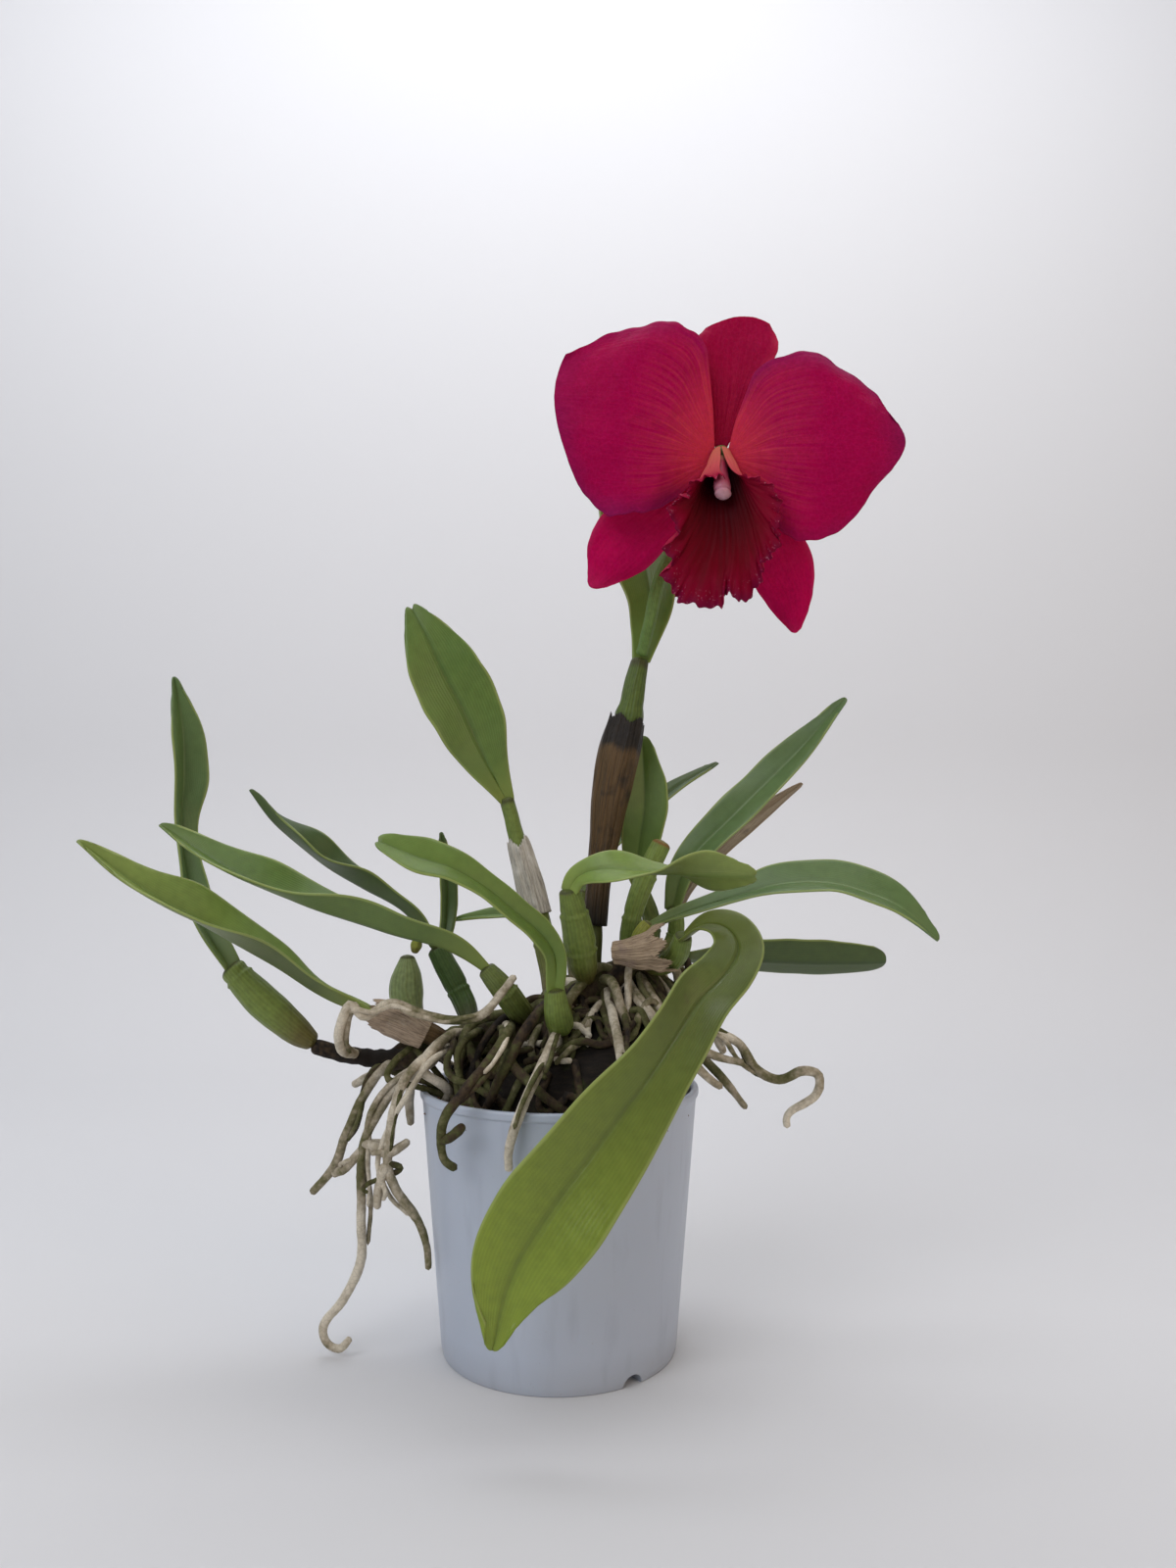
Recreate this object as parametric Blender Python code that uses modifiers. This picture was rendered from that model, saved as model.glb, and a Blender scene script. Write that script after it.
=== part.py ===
"""Cattleya orchid with one open bloom, rooted in bark in a white pot.

Metres, +Z up. The origin is the centre of the pot's flat base, and -Y is the side
that the bloom faces. Lists of points are in millimetres and turned to metres by mm().
"""
import math

import bmesh
import bpy
from mathutils import Vector

# Driving dimensions, in millimetres.
POT_HEIGHT = 109.6
POT_RIM_RADIUS = 60.0
POT_BASE_RADIUS = 49.5
POT_WALL = 2.6
POT_FLOOR = 7.0
RIM_DEPTH = 3.2
RIM_STEP = 1.0
NOTCH_COUNT = 3
NOTCH_WIDTH = 9.5
NOTCH_HEIGHT = 4.5
NOTCH_DEPTH = 9.0
NOTCH_TURN = 37.0
MEDIUM_TOP = 99.0
ROOT_RADIUS = 2.0
LEAF_THICKNESS = 1.5
PETAL_THICKNESS = 0.8
SHEATH_THICKNESS = 0.7
GAP = 0.35
SIDE_GAP = 0.2
BLOOM_CENTRE = (68, -36, 375.5)
BLOOM_FACING = (-0.08, -0.98, -0.18)

COLOURS = {
    "glazed_white": ("D9DCE0", 0.45),
    "bark": ("3A2619", 0.95),
    "root_velamen": ("B9B7A0", 0.8),
    "green_bulb": ("6F8A3A", 0.5),
    "leaf_green": ("4F7430", 0.4),
    "leaf_light": ("86A346", 0.4),
    "leaf_dark": ("39471F", 0.5),
    "dry_brown": ("7A5534", 0.85),
    "black_sheath": ("1E1712", 0.7),
    "silver_sheath": ("A59D86", 0.75),
    "cut_wood": ("B5713A", 0.8),
    "petal_magenta": ("A0053F", 0.5),
    "sepal_red": ("A8203F", 0.5),
    "lip_crimson": ("5A0016", 0.45),
    "column_pink": ("E5B7BE", 0.4),
    "bud_yellow": ("C9B23C", 0.5),
}


def mm(value):
    """Millimetres to metres, for a number or a point."""
    if isinstance(value, (int, float)):
        return value / 1000.0
    return Vector([c / 1000.0 for c in value])


def clear_scene():
    for obj in list(bpy.data.objects):
        bpy.data.objects.remove(obj, do_unlink=True)


def new_collection(name):
    coll = bpy.data.collections.new(name)
    bpy.context.scene.collection.children.link(coll)
    return coll


def paint(obj, colour):
    """Give an object its own Principled material in one of the named colours."""
    code, roughness = COLOURS[colour]
    mat = bpy.data.materials.new(obj.name + "_" + colour)
    mat.use_nodes = True
    shader = mat.node_tree.nodes["Principled BSDF"]
    srgb = [int(code[i:i + 2], 16) / 255.0 for i in (0, 2, 4)]
    linear = [c / 12.92 if c <= 0.04045 else ((c + 0.055) / 1.055) ** 2.4 for c in srgb]
    shader.inputs["Base Color"].default_value = (*linear, 1.0)
    shader.inputs["Roughness"].default_value = roughness
    shader.inputs["Metallic"].default_value = 0.0
    obj.data.materials.clear()
    obj.data.materials.append(mat)


def add_mesh(name, mesh, colour=None, coll=None):
    obj = bpy.data.objects.new(name, mesh)
    (coll or PLANT).objects.link(obj)
    if colour:
        paint(obj, colour)
    return obj


def evaluated_mesh(obj):
    """The object's mesh with its modifiers applied, as a new mesh in world space."""
    bpy.context.view_layer.update()
    graph = bpy.context.evaluated_depsgraph_get()
    mesh = bpy.data.meshes.new_from_object(obj.evaluated_get(graph))
    mesh.transform(obj.matrix_world)
    return mesh


def smooth_curve(points, t):
    """Point at t in 0..1 on a Catmull-Rom curve through the points."""
    spans = len(points) - 1
    place = min(max(t, 0.0), 1.0) * spans
    i = min(int(place), spans - 1)
    f = place - i
    p1, p2 = points[i], points[i + 1]
    p0 = points[i - 1] if i > 0 else p1 * 2 - p2
    p3 = points[i + 2] if i + 2 <= spans else p2 * 2 - p1
    return 0.5 * (p1 * 2 + (p2 - p0) * f + (p0 * 2 - p1 * 5 + p2 * 4 - p3) * f * f
                  + (p1 * 3 - p0 - p2 * 3 + p3) * f * f * f)


class Path:
    """A smooth curve through points in millimetres, read by its share of length."""

    STEPS = 160

    def __init__(self, points):
        knots = [mm(p) for p in points]
        self.samples = [smooth_curve(knots, i / self.STEPS) for i in range(self.STEPS + 1)]
        self.runs = [0.0]
        for a, b in zip(self.samples, self.samples[1:]):
            self.runs.append(self.runs[-1] + (b - a).length)
        self.length = self.runs[-1]

    def at(self, share):
        target = min(max(share, 0.0), 1.0) * self.length
        low, high = 0, self.STEPS
        while high - low > 1:
            middle = (low + high) // 2
            if self.runs[middle] <= target:
                low = middle
            else:
                high = middle
        step = self.runs[high] - self.runs[low]
        f = (target - self.runs[low]) / step if step > 0 else 0.0
        return self.samples[low].lerp(self.samples[high], f)

    def tangent(self, share):
        return (self.at(share + 0.012) - self.at(share - 0.012)).normalized()


def blend_values(values, t):
    """Smooth value at t in 0..1 through evenly spaced numbers."""
    return smooth_curve([Vector((v, 0, 0)) for v in values], t).x


def ease(x):
    x = min(max(x, 0.0), 1.0)
    return x * x * (3 - 2 * x)


def sheet(name, place, rows, cols, thickness, colour):
    """A thin wall over a grid: place(t, v) gives a point for t in 0..1 and v in -1..1."""
    bm = bmesh.new()
    bmesh.ops.create_grid(bm, x_segments=rows, y_segments=cols, size=1.0)
    for vert in bm.verts:
        vert.co = place((vert.co.x + 1) / 2, vert.co.y)
    bmesh.ops.triangulate(bm, faces=bm.faces[:], quad_method="FIXED")
    mesh = bpy.data.meshes.new(name)
    bm.to_mesh(mesh)
    bm.free()
    mesh.shade_smooth()
    obj = add_mesh(name, mesh, colour)
    wall = obj.modifiers.new("wall", "SOLIDIFY")
    wall.thickness = mm(thickness)
    wall.offset = 0.0
    return obj


def blade(name, spine, half_widths, faces, colour, fold=25, tip=6, notch=0, wave=0,
          waves=3, thickness=LEAF_THICKNESS, rows=12, cols=4):
    """A leaf along a spine. half_widths run from base to tip in mm, faces are the
    directions that its upper face looks, tip and notch are how far the edges and the
    midrib end short of the tip, and wave is the height of its edge's waves."""
    path = Path(spine)
    facings = [Vector(f).normalized() for f in faces]
    lift = math.radians(fold)

    def place(t, v):
        short = tip * abs(v) ** 3 + notch * math.exp(-(v / 0.2) ** 2)
        run = t * (1 - mm(short) / path.length * ease(t * 1.5 - 0.3))
        along = path.tangent(run)
        face = smooth_curve(facings, run) if len(facings) > 1 else facings[0]
        face = (face - along * face.dot(along)).normalized()
        side = along.cross(face)
        half = mm(blend_values(half_widths, t))
        keel = (math.sqrt(v * v + 0.02) - 0.1414) * math.sin(lift)
        ripple = mm(wave) * v * v * math.sin(2 * math.pi * waves * t + (1.3 if v > 0 else 0))
        return path.at(run) + side * v * half * math.cos(lift) + face * (keel * half + ripple)

    return sheet(name, place, rows, cols, thickness, colour)


def wrap(name, spine, radii, face, span, colour, ragged=0, teeth=5, rows=6, cols=9,
         thickness=SHEATH_THICKNESS):
    """A papery sheath round a stem, open along the side that faces away from face."""
    path = Path(spine)
    toward = Vector(face).normalized()

    def place(t, v):
        torn = ragged * (0.5 + 0.5 * math.sin(teeth * v * 2.2 + 1.0)) * ease(t * 2 - 1)
        run = t * (1 - mm(torn) / path.length)
        along = path.tangent(run)
        front = (toward - along * toward.dot(along)).normalized()
        side = along.cross(front)
        turn = math.radians(span / 2) * v
        radius = mm(blend_values(radii, t))
        return path.at(run) + (side * math.sin(turn) + front * math.cos(turn)) * radius

    return sheet(name, place, rows, cols, thickness, colour)


def rod(name, spine, radii, colour=None, points=10, detail=2, coll=None, grow=0.0):
    """A solid stem: a poly curve with a radius at each point, turned into a mesh."""
    path = Path(spine)
    curve = bpy.data.curves.new(name, "CURVE")
    curve.dimensions = "3D"
    curve.bevel_depth = 0.001
    curve.bevel_resolution = detail
    curve.render_resolution_u = 0
    curve.use_fill_caps = True
    line = curve.splines.new("POLY")
    line.points.add(points - 1)
    for i in range(points):
        t = i / (points - 1)
        line.points[i].co = (*path.at(t), 1.0)
        line.points[i].radius = blend_values(radii, t) + grow
    guide = bpy.data.objects.new(name + "_guide", curve)
    PLANT.objects.link(guide)
    mesh = evaluated_mesh(guide)
    bpy.data.objects.remove(guide, do_unlink=True)
    weld(mesh)
    return add_mesh(name, mesh, colour, coll)


def weld(mesh, keep_largest=False):
    """Merge loose caps, and drop scraps that a cut left when keep_largest is set."""
    bm = bmesh.new()
    bm.from_mesh(mesh)
    bmesh.ops.remove_doubles(bm, verts=bm.verts[:], dist=0.000001 if keep_largest else 0.00001)
    if keep_largest:
        left = set(bm.verts)
        bodies = []
        while left:
            queue = [left.pop()]
            body = set(queue)
            while queue:
                for edge in queue.pop().link_edges:
                    for vert in edge.verts:
                        if vert not in body:
                            body.add(vert)
                            queue.append(vert)
            left -= body
            bodies.append(body)
        bodies.sort(key=len, reverse=True)
        for body in bodies[1:]:
            bmesh.ops.delete(bm, geom=list(body), context="VERTS")
    bmesh.ops.triangulate(bm, faces=bm.faces[:])
    bm.to_mesh(mesh)
    bm.free()


def grown(obj, by=GAP):
    """A cutter: the object's shape, thicker all round by a gap in mm."""
    mesh = evaluated_mesh(obj)
    bm = bmesh.new()
    bm.from_mesh(mesh)
    bmesh.ops.remove_doubles(bm, verts=bm.verts[:], dist=0.00001)
    bm.normal_update()
    for vert, move in [(v, v.normal * v.calc_shell_factor()) for v in bm.verts]:
        vert.co += move * mm(by)
    bm.to_mesh(mesh)
    bm.free()
    cutter = add_mesh(obj.name + "_cutter", mesh, coll=CUTTERS)
    cutter.hide_render = True
    cutter.display_type = "WIRE"
    return cutter


def combine(obj, operation, target, solver="EXACT"):
    """Apply one Boolean with another object or a whole collection."""
    change = obj.modifiers.new("change", "BOOLEAN")
    change.operation = operation
    change.solver = solver
    if isinstance(target, bpy.types.Collection):
        change.operand_type = "COLLECTION"
        change.collection = target
    else:
        change.object = target
    mesh = evaluated_mesh(obj)
    obj.modifiers.clear()
    weld(mesh, keep_largest=True)
    materials = list(obj.data.materials)
    obj.data = mesh
    obj.data.materials.clear()
    for mat in materials:
        obj.data.materials.append(mat)


def boxes_meet(a, b):
    """Whether two objects' bounding boxes meet."""
    low_a, high_a = Vector(a.bound_box[0]), Vector(a.bound_box[6])
    low_b, high_b = Vector(b.bound_box[0]), Vector(b.bound_box[6])
    return all(low_a[k] < high_b[k] and low_b[k] < high_a[k] for k in range(3))


def seat(obj, *neighbours, by=GAP):
    """Cut a piece back so that it lies a gap clear of each neighbour."""
    for other in neighbours:
        cutter = grown(other, by)
        combine(obj, "DIFFERENCE", cutter)
        bpy.data.objects.remove(cutter, do_unlink=True)


def turned(name, profile, steps, colour):
    """A Screw of a profile given as (radius, height) in mm, down the outer side."""
    bm = bmesh.new()
    verts = [bm.verts.new((mm(r), 0, mm(z))) for r, z in profile]
    for a, b in zip(verts, verts[1:]):
        bm.edges.new((a, b))
    mesh = bpy.data.meshes.new(name)
    bm.to_mesh(mesh)
    bm.free()
    obj = add_mesh(name, mesh, colour)
    screw = obj.modifiers.new("turn", "SCREW")
    screw.steps = steps
    screw.render_steps = steps
    screw.use_merge_vertices = True
    screw.merge_threshold = 0.00005
    return obj


def make_pot():
    inner_rim = POT_RIM_RADIUS - POT_WALL - 0.8
    inner_base = POT_BASE_RADIUS - POT_WALL
    profile = [
        (0, POT_FLOOR), (inner_base, POT_FLOOR), (inner_rim, POT_HEIGHT - 1.5),
        (inner_rim + 1.2, POT_HEIGHT), (POT_RIM_RADIUS - 0.4, POT_HEIGHT),
        (POT_RIM_RADIUS, POT_HEIGHT - 0.8), (POT_RIM_RADIUS, POT_HEIGHT - RIM_DEPTH),
        (POT_RIM_RADIUS - RIM_STEP, POT_HEIGHT - RIM_DEPTH - 0.6),
        (POT_BASE_RADIUS + 0.6, 3.0), (POT_BASE_RADIUS, 0.0), (0, 0),
    ]
    pot = turned("pot", profile, 36, "glazed_white")
    for i in range(NOTCH_COUNT):
        turn = math.radians(-90 + NOTCH_TURN + 360 / NOTCH_COUNT * i)
        centre = Vector((math.cos(turn), math.sin(turn), 0)) * mm(POT_BASE_RADIUS)
        bpy.ops.mesh.primitive_cylinder_add(vertices=20, radius=1, depth=mm(2 * NOTCH_DEPTH))
        cutter = bpy.context.object
        cutter.name = "notch_cutter"
        cutter.rotation_euler = (math.radians(90), 0, turn + math.radians(90))
        cutter.scale = (mm(NOTCH_WIDTH / 2), mm(NOTCH_HEIGHT), 1)
        cutter.location = centre
        combine(pot, "DIFFERENCE", cutter)
        bpy.data.objects.remove(cutter, do_unlink=True)
    pot.data.shade_smooth()
    pot.data.set_sharp_from_angle(angle=math.radians(35))
    return pot


def make_medium():
    """Bark chips that fill the pot, with a lumpy top."""
    slope = (POT_RIM_RADIUS - POT_BASE_RADIUS - 0.8) / (POT_HEIGHT - POT_FLOOR)
    low = POT_BASE_RADIUS - POT_WALL - GAP
    top = low + slope * (MEDIUM_TOP - POT_FLOOR) - 0.3
    rings = [(top * s, MEDIUM_TOP) for s in (0, 0.25, 0.5, 0.75, 1)]
    medium = turned("potting_medium", rings + [(low, POT_FLOOR + GAP), (0, POT_FLOOR + GAP)],
                    24, "bark")
    mesh = evaluated_mesh(medium)
    medium.modifiers.clear()
    for vert in mesh.vertices:
        x, y, z = vert.co * 1000
        if z > MEDIUM_TOP - 1 and math.hypot(x, y) < top - 2:
            vert.co.z += mm(2.2 * math.sin(x * 0.21 + 1) * math.cos(y * 0.26) + 1.0)
    weld(mesh)
    materials = list(medium.data.materials)
    medium.data = mesh
    for mat in materials:
        if mat.name not in mesh.materials:
            mesh.materials.append(mat)
    return medium


RHIZOME = [(-108, -2, 126), (-88, 0, 121), (-67, 0, 120), (-48, -2, 128), (-27, -6, 133),
           (-4, -8, 142), (15, -4, 152), (34, 2, 160), (56, 8, 163)]
RHIZOME_RADII = [3.4, 3.6, 5.2, 5.6, 6.0, 6.2, 6.2, 5.6, 4.4]

# Roots that hang free or lie over the rim, each from the rhizome outwards.
FREE_ROOTS = [
    [(-88, 0, 122), (-92, -14, 126), (-91, -24, 136), (-86, -27, 147), (-80, -26, 142),
     (-69, -24, 147), (-52, -28, 142), (-34, -32, 142), (-23, -36, 152), (-17, -38, 160)],
    [(-24, -7, 133), (-20, -26, 138), (-21, -40, 136), (-28, -51, 126), (-35, -59, 118),
     (-42, -60, 109), (-44, -58, 100), (-43, -57, 92), (-38, -56, 88)],
    [(-44, -58, 99), (-40, -60, 101), (-35, -61, 106)],
    [(-50, -4, 127), (-54, -15, 121), (-66, -19, 114), (-76, -18, 100), (-82, -16, 87),
     (-83, -14, 63), (-83, -12, 39), (-90, -12, 23), (-98, -12, 13), (-97, -13, 6),
     (-91, -15, 4), (-86, -16, 9)],
    [(-70, 0, 120), (-76, -6, 117), (-84, -8, 105), (-91, -8, 89), (-96, -7, 76),
     (-106, -6, 64)],
    [(-82, -15, 86), (-89, -13, 78), (-96, -9, 73)],
    [(-46, -4, 127), (-56, -24, 124), (-64, -27, 115), (-68, -26, 101), (-70, -25, 83),
     (-67, -25, 72), (-58, -24, 59), (-54, -24, 49), (-53, -24, 39)],
    [(-82, -16, 88), (-76, -21, 88), (-70, -25, 86), (-61, -24, 91)],
    [(-70, -26, 82), (-73, -26, 74), (-74, -26, 64)],
    [(-60, 2, 122), (-64, 0, 114), (-65, -2, 104), (-64, -3, 92)],
    [(-72, 0, 120), (-80, 4, 114), (-91, 3, 108)],
    [(40, 2, 160), (50, -8, 146), (64, -13, 135), (76, -16, 129), (83, -18, 119),
     (92, -20, 115), (101, -22, 119), (108, -22, 117), (107, -22, 109), (96, -20, 101),
     (95, -20, 95)],
    [(34, 0, 158), (44, -19, 142), (50, -24, 133), (64, -25, 126), (77, -26, 123)],
    [(44, 4, 161), (49, 4, 140), (54, 4, 127), (64, 2, 119), (73, 0, 109), (81, -2, 99)],
    [(28, 0, 156), (42, -28, 138), (58, -31, 121), (67, -32, 114)],
    [(60, -11, 138), (67, -6, 132), (71, -4, 123)],
    [(20, -4, 152), (24, -40, 136), (27, -58, 122), (31, -64, 106), (30, -61, 88),
     (22, -61, 72)],
    [(6, -6, 145), (-2, -40, 134), (-10, -58, 118), (-17, -62, 100), (-18, -60, 88)],
]
FREE_ROOT_POINTS = 12

# Roots in the mound: from a share of the rhizome's length, down over the bark and round.
MOUND_ROOTS = 20
MOUND_LOW = MEDIUM_TOP + 5.0


def mound_root(index):
    """One root of the mound, fanned out from the rhizome by the golden angle."""
    share = 0.28 + 0.62 * (index + 0.5) / MOUND_ROOTS
    start = Path(RHIZOME).at(share) * 1000
    turn = 2.4 * index + 0.6
    reach = 17 + 13 * ((index * 7) % 5) / 4
    out = Vector((math.cos(turn), math.sin(turn) * 1.15, 0))
    side = Vector((-out.y, out.x, 0)) * (9 if index % 2 else -9)
    middle = start + out * reach
    end = Vector((start.x * 0.75, start.y, 0)) + out * (reach + 9) + side
    flat = Vector((end.x, end.y, 0))
    if flat.length > 50:
        flat *= 50 / flat.length
    hump = start.z - 3 - 6 * (index % 3)
    return [tuple(start), (start + out * reach * 0.45 + Vector((0, 0, 2)))[:],
            (middle.x, middle.y, hump), (flat.x, flat.y, MOUND_LOW + (hump - MOUND_LOW) * 0.35),
            (flat.x * 0.9 + side.x, flat.y * 0.9 + side.y, MOUND_LOW - 1)]


def make_roots(medium, pot, stems):
    """The rhizome with every root that grows from it, in one body clear of the stems."""
    strands = new_collection("strands")
    clearance = new_collection("clearance")
    for name, spine, radii, colour in STEMS:
        rod(name + "_cutter", spine, radii, points=STEM_POINTS, detail=2, coll=clearance,
            grow=GAP + 0.15)
    for i, points in enumerate(FREE_ROOTS):
        count = max(5, min(FREE_ROOT_POINTS, len(points) * 2 - 1))
        rod("strand_%02d" % i, points, [ROOT_RADIUS] * 4 + [ROOT_RADIUS * 0.75], points=count,
            detail=1, coll=strands)
    for i in range(MOUND_ROOTS):
        rod("mound_%02d" % i, mound_root(i), [2.2, 2.1, 1.9], points=6, detail=0,
            coll=strands)
    for strand in strands.objects:
        for cutter in clearance.objects:
            if boxes_meet(strand, cutter):
                combine(strand, "DIFFERENCE", cutter)
    body = rod("rhizome_and_roots", RHIZOME, RHIZOME_RADII, "root_velamen", points=16,
               detail=2)
    combine(body, "UNION", strands, "MANIFOLD")
    for group in (strands, clearance):
        for obj in list(group.objects):
            bpy.data.objects.remove(obj, do_unlink=True)
        bpy.data.collections.remove(group)
    seat(body, medium, pot)
    seat(body, *stems, by=SIDE_GAP)
    body.data.shade_smooth()
    return body


STEM_POINTS = 9

# Upright stems: name, spine from the rhizome up, radii, colour.
STEMS = [
    ("pseudobulb_upright_left", [(-4, -6, 146), (-5, 6, 158), (-10, 10, 182), (-17, 12, 206),
                                 (-25, 14, 235)], [3.2, 4.4, 4.8, 4.2, 3.6, 3.2], "green_bulb"),
    ("pseudobulb_low_left", [(-48, -5, 128), (-58, -11, 134), (-68, -12, 138), (-82, -12, 142)],
     [3.2, 4.4, 4.6, 4.2, 3.2], "dry_brown"),
    ("pseudobulb_far_left", [(-106, -2, 127), (-113, -3, 132), (-121, -4, 139),
                             (-131, -5, 148), (-143, -6, 161)],
     [3.6, 5.8, 6.9, 7.3, 7.1, 6.2, 5.4], "green_bulb"),
    ("pseudobulb_front", [(-13, -9, 139), (-17, -19, 144), (-23, -24, 153), (-31, -24, 162)],
     [3.0, 4.8, 5.2, 4.8, 3.6], "green_bulb"),
    ("pseudobulb_dark", [(-38, -2, 132), (-42, 8, 142), (-49, 11, 155), (-56, 12, 168)],
     [3.2, 4.4, 5.0, 5.0, 4.6], "leaf_dark"),
    ("pseudobulb_pale", [(2, -12, 146), (1, -28, 140), (0, -38, 144), (-1, -42, 156)],
     [3.2, 4.2, 5.4, 5.2, 4.0], "green_bulb"),
    ("pseudobulb_leaning", [(12, -6, 154), (10, -15, 163), (8, -21, 177), (4, -27, 195)],
     [3.2, 5.6, 6.8, 6.6, 5.6, 4.0], "green_bulb"),
    ("flowering_stem", [(14, -2, 155), (15, 1, 172), (16, 2, 190), (19, 2, 208), (23, 2, 240),
                        (30, 1, 268), (34, 2, 288), (36, 3, 297)],
     [4.2, 3.4, 3.2, 4.4, 6.4, 7.2, 5.4, 3.8], "green_bulb"),
    ("cut_stump", [(30, 0, 161), (31, -2, 178), (36, -3, 195), (45, -4, 215)],
     [3.8, 4.2, 4.4, 4.3], "cut_wood"),
    ("pseudobulb_back_right", [(35, 4, 161), (40, 12, 168), (41, 17, 180), (37, 18, 193)],
     [3.0, 3.6, 3.8, 3.6, 3.2], "green_bulb"),
    ("pseudobulb_back_left", [(8, 0, 152), (7, 12, 160), (8, 22, 174), (9, 26, 193)],
     [3.0, 3.8, 4.2, 3.8, 3.2], "green_bulb"),
    ("pseudobulb_right", [(44, 4, 163), (50, 10, 170), (52, 10, 178), (50, 11, 186)],
     [3.0, 3.6, 3.6, 3.2], "green_bulb"),
    ("pseudobulb_front_right", [(38, -1, 160), (45, -12, 162), (50, -22, 168), (52, -28, 176)],
     [3.2, 4.2, 4.6, 4.4, 3.6], "green_bulb"),
    ("pseudobulb_low_right", [(31, -3, 160), (33, -10, 167), (35, -13, 174), (39, -14, 180)],
     [2.6, 3.4, 3.6, 3.2], "bud_yellow"),
    ("new_growth", [(-58, 3, 124), (-64, 10, 134), (-69, 13, 146), (-69, 14, 156),
                    (-69, 14, 164)], [3.0, 3.2, 5.0, 7.4, 6.4, 2.6], "leaf_light"),
]

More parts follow.
